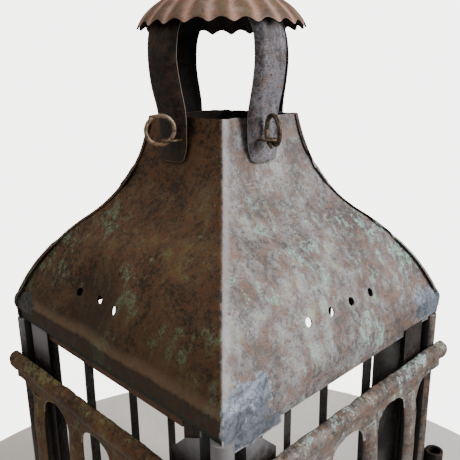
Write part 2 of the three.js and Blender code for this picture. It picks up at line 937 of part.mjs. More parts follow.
function latchKeeper(buttonOuter) {
  const legInside = guardPlane;
  const lip = buttonOuter - gap;
  const z = [-keeperHalf, keeperHalf];
  const leg = block([legInside, legInside + latchSheet], [lip - latchSheet, -keeperFoot], z);
  const hook = block([keeperLip, legInside + latchSheet], [lip - latchSheet, lip], z);
  return join(leg, hook);
}

function makeDoor() {
  const group = sides.back;
  add(group, "door_frame", doorFrame(), darkIron);
  const paneHalf = trayHalf - doorSheet - gap;
  const paneZ = [doorLow + doorBorder + gap, doorHigh - doorBorder - gap];
  const paneFront = doorOuter + doorSheet + gap;
  const pane = block([-paneHalf, paneHalf], [paneFront, paneFront + glassThickness], paneZ);
  add(group, "door_glass", pane, plainGlass);
  const barInner = doorOuter + doorDepth + gap;
  const barOverlap = 0.9; // the bars lap onto the tray's sheet at top and bottom
  const barZ = [doorLow + doorBorder - barOverlap, doorHigh - doorBorder + barOverlap];
  for (let i = 0; i < barsPerWindow; i += 1) {
    const { span } = windowBar(i);
    const bar = block(span, [barInner, barInner + barThickness], barZ);
    add(group, `door_bar_${i + 1}`, bar, darkIron);
  }
  for (const [level, drop] of Object.entries(hingeTops)) {
    const top = eavesHeight - drop - knuckleHeight - gap;
    add(group, `hinge_pintle_${level}`, hingePintle(top), greyIron);
  }
  const collar = -leafInner - gap - (-doorOuter - doorSheet);
  const rivet = latchRivet(collar);
  rivet.translate(latchX, doorOuter + doorSheet, eavesHeight - latchHeight);
  add(group, "latch_rivet", rivet, greyIron);
  const buttonInner = leafInner;
  const button = latchButton();
  button.translate(latchX, buttonInner, eavesHeight - latchHeight);
  add(group, "latch_button", button, greyIron);
  const keeper = latchKeeper(buttonInner - latchSheet);
  keeper.translate(0, 0, eavesHeight - latchHeight);
  add(group, "latch_keeper", keeper, greyIron);
}

makeRoof();
makePosts();
makeWindows();
makeGuard("front", 1);
makeGuard("right", -1);
makeStraps();
makeCap();
makeCrown();
makeBase();
makeDoor();

export default root;
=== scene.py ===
import json
import math
import bmesh
import bpy
from mathutils import Matrix, Vector, noise
from mathutils.bvhtree import BVHTree


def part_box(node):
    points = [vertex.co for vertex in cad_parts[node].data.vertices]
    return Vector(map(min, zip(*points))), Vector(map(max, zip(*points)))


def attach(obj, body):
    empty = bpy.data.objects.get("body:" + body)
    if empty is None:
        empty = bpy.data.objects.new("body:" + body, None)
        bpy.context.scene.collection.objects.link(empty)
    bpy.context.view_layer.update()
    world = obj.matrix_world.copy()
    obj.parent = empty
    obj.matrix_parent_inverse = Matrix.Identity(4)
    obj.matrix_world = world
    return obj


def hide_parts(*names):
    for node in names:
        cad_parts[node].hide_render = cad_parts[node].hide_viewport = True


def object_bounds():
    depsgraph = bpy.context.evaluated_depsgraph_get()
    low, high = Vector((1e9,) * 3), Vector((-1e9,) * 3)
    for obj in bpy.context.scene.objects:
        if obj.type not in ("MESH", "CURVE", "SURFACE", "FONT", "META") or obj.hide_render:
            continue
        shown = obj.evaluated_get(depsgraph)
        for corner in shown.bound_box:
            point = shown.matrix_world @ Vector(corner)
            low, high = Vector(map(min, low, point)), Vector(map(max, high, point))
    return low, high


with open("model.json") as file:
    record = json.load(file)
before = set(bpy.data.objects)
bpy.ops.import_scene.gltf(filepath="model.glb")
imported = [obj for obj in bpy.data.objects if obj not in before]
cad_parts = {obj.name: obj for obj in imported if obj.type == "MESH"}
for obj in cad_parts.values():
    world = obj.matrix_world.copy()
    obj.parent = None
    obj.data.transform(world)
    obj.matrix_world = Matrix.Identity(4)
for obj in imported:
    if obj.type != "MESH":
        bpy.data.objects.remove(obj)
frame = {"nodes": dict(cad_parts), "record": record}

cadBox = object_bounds()
mm = 0.001
sideNames = ("front", "right", "back", "left")
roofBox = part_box("roof_front_right")
eavesHeight = roofBox[0][2]
roofTop = roofBox[1][2]
eavesHalf = roofBox[1][0]
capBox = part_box("cap")
capFlutes = {"count": 24, "phase": math.radians(8.5)}
joints = {joint["name"]: joint for joint in frame["record"]["behaviour"]["joints"]}


# small helpers for meshes

def newPiece(name, points, faces):
    mesh = bpy.data.meshes.new(name)
    mesh.from_pydata([tuple(point) for point in points], [], faces)
    mesh.validate()
    piece = bpy.data.objects.new(name, mesh)
    bpy.context.scene.collection.objects.link(piece)
    return piece


def addModifier(piece, kind, **settings):
    modifier = piece.modifiers.new(kind.lower(), kind)
    for key, value in settings.items():
        setattr(modifier, key, value)
    return modifier


def settle(piece):
    # turns what the modifiers make into the piece's own plain mesh
    graph = bpy.context.evaluated_depsgraph_get()
    mesh = bpy.data.meshes.new_from_object(piece.evaluated_get(graph))
    piece.modifiers.clear()
    piece.data = mesh
    return piece


def weld(piece, distance=0.01 * mm):
    work = bmesh.new()
    work.from_mesh(piece.data)
    bmesh.ops.remove_doubles(work, verts=work.verts, dist=distance)
    bmesh.ops.dissolve_degenerate(work, edges=work.edges, dist=distance / 2)
    bmesh.ops.recalc_face_normals(work, faces=work.faces)
    work.to_mesh(piece.data)
    work.free()


def gridFaces(rows, columns, closed=False):
    # quads between rows of points that were listed one row after another
    faces = []
    for row in range(rows - 1):
        for column in range(columns - (0 if closed else 1)):
            a = row * columns + column
            b = row * columns + (column + 1) % columns
            faces.append((a, b, b + columns, a + columns))
    return faces


def smoothBy(piece, degrees=35):
    for face in piece.data.polygons:
        face.use_smooth = True
    piece.data.set_sharp_from_angle(angle=math.radians(degrees))


def twoNoises(place, amounts, sizes):
    return sum(amount * noise.noise(place / size) for amount, size in zip(amounts, sizes))


def roughen(piece, amount, size, seed):
    # pushes each point in or out along its normal by soft noise
    shift = Vector((seed, seed * 0.7, -seed * 0.3))
    normals = [vertex.normal.copy() for vertex in piece.data.vertices]
    for vertex, normal in zip(piece.data.vertices, normals):
        vertex.co += normal * amount * noise.noise(vertex.co / size + shift)
    piece.data.update()


def markWearAndEdgeHighlight(piece, width=0.3 * mm):
    # how sharply each face turns away from its neighbours, kept as an attribute for edge wear and a painted
    # edge highlight
    work = bmesh.new()
    work.from_mesh(piece.data)
    turning = {}
    for edge in work.edges:
        if len(edge.link_faces) == 2:
            turning[edge.index] = max(0, edge.calc_face_angle_signed(0)) * edge.calc_length()
    values = []
    for face in work.faces:
        total = sum(turning.get(edge.index, 0) for edge in face.edges)
        values.append(min(1, total * width / max(face.calc_area(), 1e-12)))
    work.free()
    wear = piece.data.attributes.new("wear", "FLOAT", "FACE")
    wear.data.foreach_set("value", values)


def finishPiece(piece, body, material, nodes=(), angle=35):
    smoothBy(piece, angle)
    markWearAndEdgeHighlight(piece)
    piece.data.materials.clear()
    piece.data.materials.append(material)
    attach(piece, body)
    if nodes:
        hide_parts(*nodes)


def quarter(turns):
    return Matrix.Rotation(turns * math.pi / 2, 4, "Z")


# node trees written as expressions

class Field:
    # wraps a socket, so that maths on it is written as an expression
    def __init__(self, tree, socket):
        self.tree = tree
        self.socket = socket

    def __add__(self, other):
        return self.tree.maths("ADD", self, other)

    def __sub__(self, other):
        return self.tree.maths("SUBTRACT", self, other)

    def __rsub__(self, other):
        return self.tree.maths("SUBTRACT", other, self)

    def __mul__(self, other):
        return self.tree.maths("MULTIPLY", self, other)

    def __truediv__(self, other):
        return self.tree.maths("DIVIDE", self, other)

    def __rtruediv__(self, other):
        return self.tree.maths("DIVIDE", other, self)

    def __pow__(self, other):
        return self.tree.maths("POWER", self, other)

    __radd__ = __add__
    __rmul__ = __mul__


class Tree:
    def __init__(self, nodeTree):
        self.nodeTree = nodeTree

    def node(self, kind, settings=None, sockets=None):
        made = self.nodeTree.nodes.new(kind)
        for key, value in (settings or {}).items():
            setattr(made, key, value)
        for key, value in (sockets or {}).items():
            if isinstance(value, Field):
                self.nodeTree.links.new(value.socket, made.inputs[key])
            else:
                made.inputs[key].default_value = value
        return made

    def field(self, kind, settings=None, sockets=None, output=0):
        return Field(self, self.node(kind, settings, sockets).outputs[output])

    def maths(self, operation, *values):
        sockets = dict(enumerate(values))
        return self.field("ShaderNodeMath", {"operation": operation}, sockets)

    def step(self, value, low, high):
        # 0 below low, 1 above high, smooth between them
        settings = {"interpolation_type": "SMOOTHSTEP"}
        return self.field("ShaderNodeMapRange", settings, {0: value, 1: low, 2: high})

    def noise(self, place, size, detail=4.0, roughness=0.55, distortion=0.0):
        sockets = {"Vector": place, "Scale": 1 / size, "Detail": detail}
        sockets.update({"Roughness": roughness, "Distortion": distortion})
        return self.field("ShaderNodeTexNoise", None, sockets)

    def mix(self, factor, first, second):
        sockets = {0: factor, 6: colourOf(first), 7: colourOf(second)}
        settings = {"data_type": "RGBA"}
        return self.field("ShaderNodeMix", settings, sockets, output=2)


def colourOf(value):
    return (*value, 1) if isinstance(value, tuple) and len(value) == 3 else value


def newPaint(name):
    material = bpy.data.materials.new(name)
    material.use_nodes = True
    material.node_tree.nodes.clear()
    return material, Tree(material.node_tree)


# finishes

# a light palette is a painted lit copy of the shade palette, chosen by side
ironLooks = {
    "roof": {
        "shade": {"dark": (0.030, 0.017, 0.008), "pale": (0.145, 0.082, 0.038),
                  "rust": (0.140, 0.056, 0.022), "patina": (0.150, 0.230, 0.150),
                  "moss": (0.145, 0.150, 0.035), "worn": (0.30, 0.20, 0.12)},
        "light": {"dark": (0.110, 0.098, 0.094), "pale": (0.375, 0.375, 0.395),
                  "rust": (0.270, 0.160, 0.118), "patina": (0.36, 0.64, 0.56),
                  "moss": (0.42, 0.47, 0.20), "worn": (0.60, 0.56, 0.52)},
        "rustAmount": 0.6, "patinaAmount": 0.74, "mossAmount": 0.62, "streak": 0.15, "pit": 0.7,
        "plainAbove": eavesHeight + 88 * mm, "paintedDentShade": (-16 * mm, -96 * mm, eavesHeight + 31 * mm),
        "metal": 0.15, "rough": 0.56, "bump": 0.6, "wear": 0.5, "scratch": 0.7,
        "hem": (0.010, 0.022, 0.012), "fold": (0.46, 0.44, 0.47), "under": (0.024, 0.015, 0.004),
    },
    "cap": {
        "shade": {"dark": (0.105, 0.062, 0.047), "pale": (0.360, 0.255, 0.215),
                  "rust": (0.350, 0.150, 0.095), "patina": (0.30, 0.46, 0.33),
                  "moss": (0.120, 0.098, 0.045), "worn": (0.66, 0.45, 0.37)},
        "rustAmount": 0.85, "patinaAmount": 0.05, "mossAmount": 0.55, "streak": 0.5, "pit": 0.6,
        "metal": 0.1, "rough": 0.55, "bump": 0.5, "wear": 0.8, "scratch": 0.0, "sootAndShadeBelow": True,
        "flutes": True,
    },
    "strapPaintedShade": {
        "shade": {"dark": (0.013, 0.008, 0.005), "pale": (0.050, 0.032, 0.020),
                  "rust": (0.070, 0.028, 0.013), "patina": (0.09, 0.08, 0.06),
                  "moss": (0.06, 0.05, 0.025), "worn": (0.42, 0.34, 0.27)},
        "rustAmount": 0.45, "patinaAmount": 0.1, "mossAmount": 0.2, "streak": 0.3, "pit": 0.5,
        "metal": 0.25, "rough": 0.5, "bump": 0.3, "wear": 0.9, "scratch": 0.2,
    },
    "strapPaintedLight": {
        "shade": {"dark": (0.060, 0.052, 0.056), "pale": (0.250, 0.245, 0.280),
                  "rust": (0.190, 0.110, 0.085), "patina": (0.34, 0.34, 0.40),
                  "moss": (0.15, 0.12, 0.10), "worn": (0.50, 0.48, 0.50)},
        "rustAmount": 0.50, "patinaAmount": 0.45, "mossAmount": 0.3, "streak": 0.2, "pit": 1.0,
        "metal": 0.25, "rough": 0.52, "bump": 0.8, "wear": 0.5, "scratch": 0.3,
    },
    "rail": {
        "shade": {"dark": (0.038, 0.020, 0.008), "pale": (0.150, 0.090, 0.040),
                  "rust": (0.165, 0.062, 0.020), "patina": (0.19, 0.21, 0.09),
                  "moss": (0.20, 0.17, 0.04), "worn": (0.42, 0.36, 0.20)},
        "light": {"dark": (0.075, 0.062, 0.055), "pale": (0.250, 0.225, 0.210),
                  "rust": (0.235, 0.120, 0.075), "patina": (0.45, 0.64, 0.66),
                  "moss": (0.42, 0.44, 0.26), "worn": (0.70, 0.68, 0.62)},
        "rustAmount": 0.55, "patinaAmount": 0.55, "mossAmount": 0.52, "streak": 0.1, "pit": 0.8,
        "metal": 0.15, "rough": 0.5, "bump": 0.6, "wear": 0.8, "scratch": 0.0, "topPatina": True,
    },
    "dark": {
        "shade": {"dark": (0.012, 0.009, 0.007), "pale": (0.048, 0.037, 0.030),
                  "rust": (0.075, 0.032, 0.016), "patina": (0.09, 0.10, 0.08),
                  "moss": (0.06, 0.055, 0.025), "worn": (0.22, 0.18, 0.15)},
        "rustAmount": 0.42, "patinaAmount": 0.15, "mossAmount": 0.25, "streak": 0.3, "pit": 0.5,
        "metal": 0.3, "rough": 0.45, "bump": 0.3, "wear": 0.8, "scratch": 0.3,
    },
    "post": {
        "shade": {"dark": (0.018, 0.014, 0.013), "pale": (0.070, 0.056, 0.052),
                  "rust": (0.090, 0.042, 0.024), "patina": (0.10, 0.11, 0.10),
                  "moss": (0.08, 0.07, 0.04), "worn": (0.26, 0.23, 0.20)},
        "light": {"dark": (0.055, 0.046, 0.040), "pale": (0.185, 0.160, 0.145),
                  "rust": (0.200, 0.110, 0.070), "patina": (0.22, 0.26, 0.24),
                  "moss": (0.15, 0.13, 0.08), "worn": (0.45, 0.40, 0.36)},
        "rustAmount": 0.45, "patinaAmount": 0.15, "mossAmount": 0.25, "streak": 0.5, "pit": 0.6,
        "metal": 0.3, "rough": 0.42, "bump": 0.35, "wear": 0.8, "scratch": 0.3,
        "reach": 186 * mm, "top": (0.33, 0.33, 0.35),
    },
    "redRail": {
        "shade": {"dark": (0.050, 0.022, 0.012), "pale": (0.150, 0.072, 0.040),
                  "rust": (0.190, 0.075, 0.035), "patina": (0.10, 0.09, 0.06),
                  "moss": (0.07, 0.06, 0.03), "worn": (0.32, 0.19, 0.12)},
        "rustAmount": 0.6, "patinaAmount": 0.1, "mossAmount": 0.2, "streak": 0.3, "pit": 0.4,
        "metal": 0.2, "rough": 0.45, "bump": 0.3, "wear": 0.6, "scratch": 0.0,
    },
    "solder": {
        "split": -40 * mm,
        "shade": {"dark": (0.022, 0.022, 0.022), "pale": (0.095, 0.094, 0.088),
                  "rust": (0.080, 0.055, 0.035), "patina": (0.17, 0.17, 0.15),
                  "moss": (0.06, 0.05, 0.03), "worn": (0.30, 0.28, 0.24)},
        "light": {"dark": (0.090, 0.105, 0.130), "pale": (0.260, 0.300, 0.370),
                  "rust": (0.200, 0.180, 0.165), "patina": (0.55, 0.57, 0.60),
                  "moss": (0.13, 0.12, 0.11), "worn": (0.78, 0.77, 0.76)},
        "rustAmount": 0.3, "patinaAmount": 0.60, "mossAmount": 0.3, "streak": 0.0, "pit": 0.4,
        "metal": 0.35, "rough": 0.42, "bump": 0.6, "wear": 0.7, "scratch": 0.0,
    },
    "paleWire": {
        "shade": {"dark": (0.090, 0.060, 0.035), "pale": (0.400, 0.320, 0.230),
                  "rust": (0.380, 0.190, 0.070), "patina": (0.55, 0.50, 0.42),
                  "moss": (0.13, 0.10, 0.06), "worn": (0.60, 0.52, 0.42)},
        "rustAmount": 0.45, "patinaAmount": 0.3, "mossAmount": 0.4, "streak": 0.0, "pit": 0.4,
        "metal": 0.4, "rough": 0.42, "bump": 0.3, "wear": 0.2, "scratch": 0.0,
    },
    "darkWire": {
        "shade": {"dark": (0.030, 0.019, 0.010), "pale": (0.125, 0.085, 0.050),
                  "rust": (0.170, 0.080, 0.035), "patina": (0.20, 0.17, 0.12),
                  "moss": (0.07, 0.06, 0.03), "worn": (0.30, 0.24, 0.17)},
        "rustAmount": 0.45, "patinaAmount": 0.3, "mossAmount": 0.3, "streak": 0.0, "pit": 0.4,
        "metal": 0.4, "rough": 0.4, "bump": 0.3, "wear": 0.2, "scratch": 0.0,
    },
}


sootAndShadeColour = (0.006, 0.005, 0.004)


def ironColour(paint, palette, masks):
    colour = paint.mix(masks["broad"], palette["dark"], palette["pale"])
    colour = paint.mix(masks["rust"], colour, palette["rust"])
    colour = paint.mix(masks["moss"], colour, palette["moss"])
    colour = paint.mix(masks["patina"], colour, palette["patina"])
    colour = paint.mix(masks["wear"], colour, palette["worn"])
    return paint.mix(masks["pit"], colour, tuple(part * 0.3 for part in palette["dark"]))


def ironMasks(paint, look, place, z, facing):
    # the sums of noise all have a middle of 0.5
    tall = paint.field("ShaderNodeMapping", None, {"Vector": place, "Scale": (1, 1, 0.3)})
    scored = paint.field("ShaderNodeMapping", None, {
        "Vector": place, "Rotation": (0.5, 0.4, 0.7), "Scale": (1, 0.07, 1)})
    fine = paint.noise(place, 1.1 * mm, 2, 0.6)
    grain = paint.noise(place, 3.2 * mm, 4, 0.65)
    cloud = paint.noise(place, 28 * mm, 4, 0.6, 0.5)
    drips = paint.noise(tall, 6 * mm, 4, 0.6)
    blotch = paint.noise(place, 8 * mm, 5, 0.7, 0.4)
    spread = paint.noise(place, 30 * mm, 2, 0.5)
    scratch = paint.noise(scored, 1.2 * mm, 1, 0.5)
    tone = cloud * 0.4 + grain * 0.38 + fine * 0.22 + (drips - 0.5) * look["streak"]
    patina = drips * 0.42 + spread * 0.33 + grain * 0.15 + fine * 0.10
    if look.get("topPatina"):
        patina = patina + Field(paint, facing.outputs[2]) * 0.06
    moss = drips * 0.4 + cloud * 0.35 + fine * 0.25
    if look.get("topPatina"):
        moss = moss + Field(paint, facing.outputs[2]) * 0.05
    rust = blotch * 0.5 + grain * 0.25 + fine * 0.25
    # edges that turn sharply are made pale: partly real wear and scratches, partly a painted highlight
    # where edges catch the light
    wear = paint.field("ShaderNodeAttribute", {"attribute_name": "wear"}, output=2)
    worn = paint.step(wear + (grain - 0.5) * 1.2, 0.3, 0.8) * look["wear"]
    scratched = paint.step(scratch, 0.70, 0.76) * paint.step(spread, 0.48, 0.60) * look["scratch"]
    patinaFrom = 0.63 - 0.14 * look["patinaAmount"]
    mossFrom = 0.63 - 0.14 * look["mossAmount"]
    rustFrom = 0.58 - 0.16 * look["rustAmount"]
    crumbly = paint.step(fine * 0.55 + grain * 0.45, 0.41, 0.57)
    if "plainAbove" in look:
        plain = paint.step(z, look["plainAbove"] - 20 * mm, look["plainAbove"] + 12 * mm)
        crumbly = crumbly * (1 - 0.9 * plain)
    return {
        "broad": paint.step(tone, 0.41, 0.59),
        "rust": paint.step(rust, rustFrom, rustFrom + 0.07) * 0.75,
        "moss": paint.step(moss, mossFrom, mossFrom + 0.07) * crumbly * 0.75,
        "patina": paint.step(patina, patinaFrom, patinaFrom + 0.07) * crumbly * 0.85,
        "wear": paint.maths("MAXIMUM", worn, scratched),
        "pit": paint.step(fine * 0.5 + blotch * 0.25 + grain * 0.25, 0.565, 0.63) * look["pit"],
        "grain": grain,
        "fine": fine,
    }


def agedIron(name, look):
    material, paint = newPaint(name)
    place = paint.field("ShaderNodeTexCoord", output="Object")
    parts = paint.node("ShaderNodeSeparateXYZ", None, {0: place})
    surface = paint.field("ShaderNodeNewGeometry", output=1)
    facing = paint.node("ShaderNodeSeparateXYZ", None, {0: surface})
    x, y, z = (Field(paint, parts.outputs[i]) for i in range(3))
    masks = ironMasks(paint, look, place, z, facing)
    grain = masks["grain"]
    colour = ironColour(paint, look["shade"], masks)
    if "light" in look:
        # painted shade and light: the front and left sides get the shaded palette, browner and darker, and
        # the right and back sides the lit palette, paler and greyer
        split = look.get("split", 0)
        paintedLitSide = paint.step(x + y + (grain - 0.5) * 3 * mm, split - 1.5 * mm, split + 1.5 * mm)
        colour = paint.mix(paintedLitSide, colour, ironColour(paint, look["light"], masks))
    if "flutes" in look:
        # dirt and moss lie in the hollows of the flutes, with painted shade darkening them, and the ridges
        # get a painted highlight
        turned = (paint.maths("ARCTAN2", y, x) - capFlutes["phase"]) * (capFlutes["count"] / 2)
        reach = (x * x + y * y) ** 0.5 / capBox[1][0]
        hollow = paint.maths("ABSOLUTE", paint.maths("SINE", turned)) * reach
        low = paint.step(hollow + (grain - 0.5) * 1.6, 0.30, 1.0)
        mossAndShade = paint.mix(masks["broad"], look["shade"]["dark"], look["shade"]["moss"])
        colour = paint.mix(low * 0.85, colour, mossAndShade)
        paintedRidgeHighlight = (1 - paint.step(hollow + (grain - 0.5) * 1.2, 0.05, 0.62)) * paint.step(reach, 0.25, 0.6)
        colour = paint.mix(paintedRidgeHighlight * 0.42, colour, look["shade"]["worn"])
    if "hem" in look:
        shaded = 1 - paint.step(x + y, -1.5 * mm, 1.5 * mm)
        up = z - eavesHeight + (grain - 0.5) * 4 * mm
        # painted shade: the skirt below the bend is darker on the shaded faces
        paintedSkirtShade = 1 - paint.step(up, 11 * mm, 13.5 * mm)
        # painted highlight along the bend above the skirt
        bend = paint.step(up, 10.5 * mm, 13 * mm) * (1 - paint.step(up, 13.5 * mm, 19 * mm))
        hem = 1 - paint.step(up, 1.5 * mm, 3.5 * mm)
        # painted shade: a darker patch where the front face is dented
        distance = {"operation": "DISTANCE"}
        apart = paint.field("ShaderNodeVectorMath", distance, {0: place, 1: look["paintedDentShade"]}, output="Value")
        near = 1 - paint.step(apart + (grain - 0.5) * 8 * mm, 17 * mm, 30 * mm)
        colour = paint.mix(near * 0.5, colour, look["shade"]["dark"])
        # painted shade: the shaded faces get darker towards the eaves
        under = 1 - paint.step(up, 12 * mm, 56 * mm)
        colour = paint.mix(under * shaded * 0.38, colour, look["under"])
        colour = paint.mix(paintedSkirtShade * shaded * 0.55, colour, look["shade"]["dark"])
        colour = paint.mix(bend * shaded * 0.35, colour, look["shade"]["worn"])
        colour = paint.mix(hem * shaded * 0.85, colour, look["hem"])
        # painted highlight: a pale strip just past the fold at the front and back corners
        pastFold = paint.step(x + y + (grain - 0.5) * 8 * mm, 3 * mm, 7 * mm)
        fold = paint.step(x + y, 0, 1 * mm) * (1 - pastFold)
        colour = paint.mix(fold * 0.6, colour, look["fold"])
    if "reach" in look:
        # painted shade: the posts are darkened inside their outermost beads, which stay pale
        apart = paint.maths("ABSOLUTE", x) + paint.maths("ABSOLUTE", y)
        paintedInnerShade = 1 - paint.step(apart, look["reach"] - 6 * mm, look["reach"])
        # painted highlight: the shaded posts are paler near their top
        high = paint.step(z + (grain - 0.5) * 10 * mm, eavesHeight - 26 * mm, eavesHeight - 4 * mm)
        shaded = 1 - paint.step(x + y, 30 * mm, 60 * mm)
        colour = paint.mix(paintedInnerShade * 0.8, colour, look["shade"]["dark"])
        colour = paint.mix(high * shaded * 0.7, colour, look["top"])
    # faces turned in towards the middle, and on the cap faces turned down, are made nearly black: soot
    # inside the lantern and painted shade where the light does not reach
    outward = Field(paint, facing.outputs[0]) * x + Field(paint, facing.outputs[1]) * y
    sootAndShade = 1 - paint.step(outward, -12 * mm, -1 * mm)
    if look.get("sootAndShadeBelow"):
        sootAndShade = paint.maths("MAXIMUM", sootAndShade, 1 - paint.step(Field(paint, facing.outputs[2]), -0.55, -0.2))
    colour = paint.mix(sootAndShade * 0.94, colour, sootAndShadeColour)
    rough = look["rough"] + masks["rust"] * 0.2 + masks["patina"] * 0.15 + (grain - 0.5) * 0.3 + sootAndShade * 0.35
    metal = look["metal"] * (1 - masks["rust"]) * (1 - masks["patina"]) * (1 - sootAndShade)
    height = grain * 0.5 + masks["fine"] * 0.3 - masks["pit"] * 0.6 + masks["patina"] * 0.25
    bumpSockets = {"Strength": look["bump"], "Distance": 0.6 * mm, "Height": height + masks["rust"] * 0.2}
    bump = paint.field("ShaderNodeBump", None, bumpSockets)
    shader = paint.field("ShaderNodeBsdfPrincipled", None, {
        "Base Color": colour, "Roughness": rough, "Metallic": metal, "Normal": bump,
        "Specular IOR Level": 0.4,
    })
    paint.node("ShaderNodeOutputMaterial", None, {"Surface": shader})
    return material


def oldGlass(name):
    material, paint = newPaint(name)
    place = paint.field("ShaderNodeTexCoord", output="Object")
    cloud = paint.noise(place, 30 * mm, 5, 0.6)
    specks = paint.noise(place, 1.6 * mm, 3, 0.7)
    dust = paint.step(cloud + (specks - 0.5) * 0.5, 0.42, 0.66) * 0.045 + 0.015
    shader = paint.field("ShaderNodeBsdfPrincipled", None, {
        "Base Color": (0.62, 0.60, 0.57, 1), "Roughness": dust * 2 + 0.02, "Alpha": dust,
        "Specular IOR Level": 0.5,
    })
    paint.node("ShaderNodeOutputMaterial", None, {"Surface": shader})
    return material


irons = {name: agedIron(name + "Iron", look) for name, look in ironLooks.items()}
glassFinish = oldGlass("oldGlass")
print("finishes made:", len(irons) + 1)


# roof: two folded sheets

roofShape = {
    "skirtHeight": 10 * mm,
    "skirtTuck": 2 * mm,
    "fullCurve": ((94.7 * mm, 34.6 * mm), (73.2 * mm, 59.9 * mm), (61.7 * mm, 69.7 * mm)),
    "hollowCurve": ((43.1 * mm, 85.5 * mm), (34.8 * mm, 110.8 * mm)),
    "neckHalf": 32 * mm,
    "foldRadius": 2.2 * mm,
    "sheet": 0.9 * mm,
    "skirt": ((1.3, 0), (0.9, 1.2), (1.1, 4), (0.9, 8), (0.7, 11), (0.9, 12.6)),
    "creaseTop": 14 * mm,
    "creaseFade": 12 * mm,
    "creaseOut": 0.8 * mm,
    "leftLap": 3.6 * mm,
    "rightLap": 1.9 * mm,
    "lapStep": 1.05 * mm,
    "columns": 56,
    "waves": (0.8 * mm, 0.28 * mm),
    "waveSize": (38 * mm, 11 * mm),
    "calmBelowNeck": 20 * mm,
    "edgeWave": 0.5 * mm,
}
seamTabs = (
    {"low": 14 * mm, "high": 52 * mm, "lift": 1.2 * mm, "wider": 1.2 * mm},
    {"low": 88 * mm, "high": 101 * mm, "lift": 1.0 * mm, "wider": 0.8 * mm},
)
roofDents = (
    {"side": 0, "along": -18 * mm, "up": 30 * mm, "size": 30 * mm, "depth": 4.2 * mm},
    {"side": 0, "along": -38 * mm, "up": 50 * mm, "size": 15 * mm, "depth": -1.6 * mm},
    {"side": 0, "along": -22 * mm, "up": 56 * mm, "size": 15 * mm, "depth": -1.8 * mm},
    {"side": 0, "along": -4 * mm, "up": 54 * mm, "size": 15 * mm, "depth": -1.8 * mm},
    {"side": 0, "along": 12 * mm, "up": 42 * mm, "size": 13 * mm, "depth": -1.4 * mm},
    {"side": 0, "along": 46 * mm, "up": 24 * mm, "size": 22 * mm, "depth": 0.9 * mm},
    {"side": 0, "along": -2 * mm, "up": 92 * mm, "size": 10 * mm, "depth": 0.7 * mm},
    {"side": 1, "along": -12 * mm, "up": 72 * mm, "size": 15 * mm, "depth": 1.4 * mm},
    {"side": 1, "along": 2 * mm, "up": 62 * mm, "size": 9 * mm, "depth": -1.0 * mm},
    {"side": 1, "along": 12 * mm, "up": 56 * mm, "size": 8 * mm, "depth": 0.9 * mm},
    {"side": 1, "along": -14 * mm, "up": 92 * mm, "size": 9 * mm, "depth": 1.0 * mm},
    {"side": 1, "along": 42 * mm, "up": 34 * mm, "size": 22 * mm, "depth": 0.8 * mm},
    {"side": 1, "along": -40 * mm, "up": 26 * mm, "size": 24 * mm, "depth": 0.8 * mm},
    {"side": 2, "along": 10 * mm, "up": 45 * mm, "size": 24 * mm, "depth": 1.6 * mm},
    {"side": 3, "along": -12 * mm, "up": 52 * mm, "size": 22 * mm, "depth": 1.6 * mm},
)
ventHoles = {
    "radius": 2.4 * mm,
    "spacing": 19 * mm,
    "up": 32 * mm,
    "count": (3, 4, 4, 4),
    "shift": (-14 * mm, 0, 0, 0),
    "reach": 12 * mm,
    "sides": 20,
}


def bezier(points, share):
    rest = 1 - share
    weights = (rest ** 3, 3 * rest ** 2 * share, 3 * rest * share ** 2, share ** 3)
    return tuple(sum(w * point[i] for w, point in zip(weights, points)) for i in (0, 1))


def roofProfile(steps=22):
    # half side and height above the eaves, from the bottom edge to the neck
    skirtTop = (eavesHalf - roofShape["skirtTuck"], roofShape["skirtHeight"])
    full = (skirtTop, *roofShape["fullCurve"])
    neck = (roofShape["neckHalf"], roofTop - eavesHeight)
    hollow = (roofShape["fullCurve"][2], *roofShape["hollowCurve"], neck)
    rows = [(eavesHalf - inward * mm, up * mm) for inward, up in roofShape["skirt"]]
    for half, up in (bezier(full, i / steps) for i in range(1, steps + 1)):
        above = up - roofShape["creaseTop"]
        if above > 0:
            out = roofShape["creaseOut"] * max(0, 1 - above / roofShape["creaseFade"])
            rows.append((half + out, up))
    rows += [bezier(hollow, i / steps) for i in range(1, steps + 1)]
    return rows


profileRows = roofProfile()


def roofHalfAt(up):
    for (lowHalf, low), (highHalf, high) in zip(profileRows, profileRows[1:]):
        if up <= high:
            return lowHalf + (highHalf - lowHalf) * (up - low) / (high - low)
    return roofShape["neckHalf"]


def roundedPath(corners, radius, columns):
    # points along a flat path, with its corners rounded; the same number for every row
    points = []
    for index, corner in enumerate(corners[:-1]):
        start, end = Vector(corner), Vector(corners[index + 1])
        along = (end - start).normalized()
        first = start + along * (radius if index else 0)
        last = end - along * (radius if index < len(corners) - 2 else 0)
        count = columns if (end - start).length > 20 * mm else 5
        points += [first.lerp(last, i / count) for i in range(count + 1)]
        if index < len(corners) - 2:
            turn = (Vector(corners[index + 2]) - end).normalized()
            after = end + turn * radius
            for i in (1, 2, 3):
                share = i / 4
                points.append(last.lerp(end, share).lerp(end.lerp(after, share), share))
    return points


def tabAt(up):
    for tab in seamTabs:
        if tab["low"] <= up <= tab["high"]:
            return tab
    return {"lift": 0, "wider": 0}


def dentAt(point):
    up = point.z - eavesHeight
    depth = 0
    for dent in roofDents:
        local = quarter(-dent["side"]) @ point
        if local.y > -abs(local.x):
            continue
        gone = math.hypot(local.x - dent["along"], up - dent["up"]) / dent["size"]
        depth -= dent["depth"] * max(0, 1 - gone * gone) ** 2
    return depth


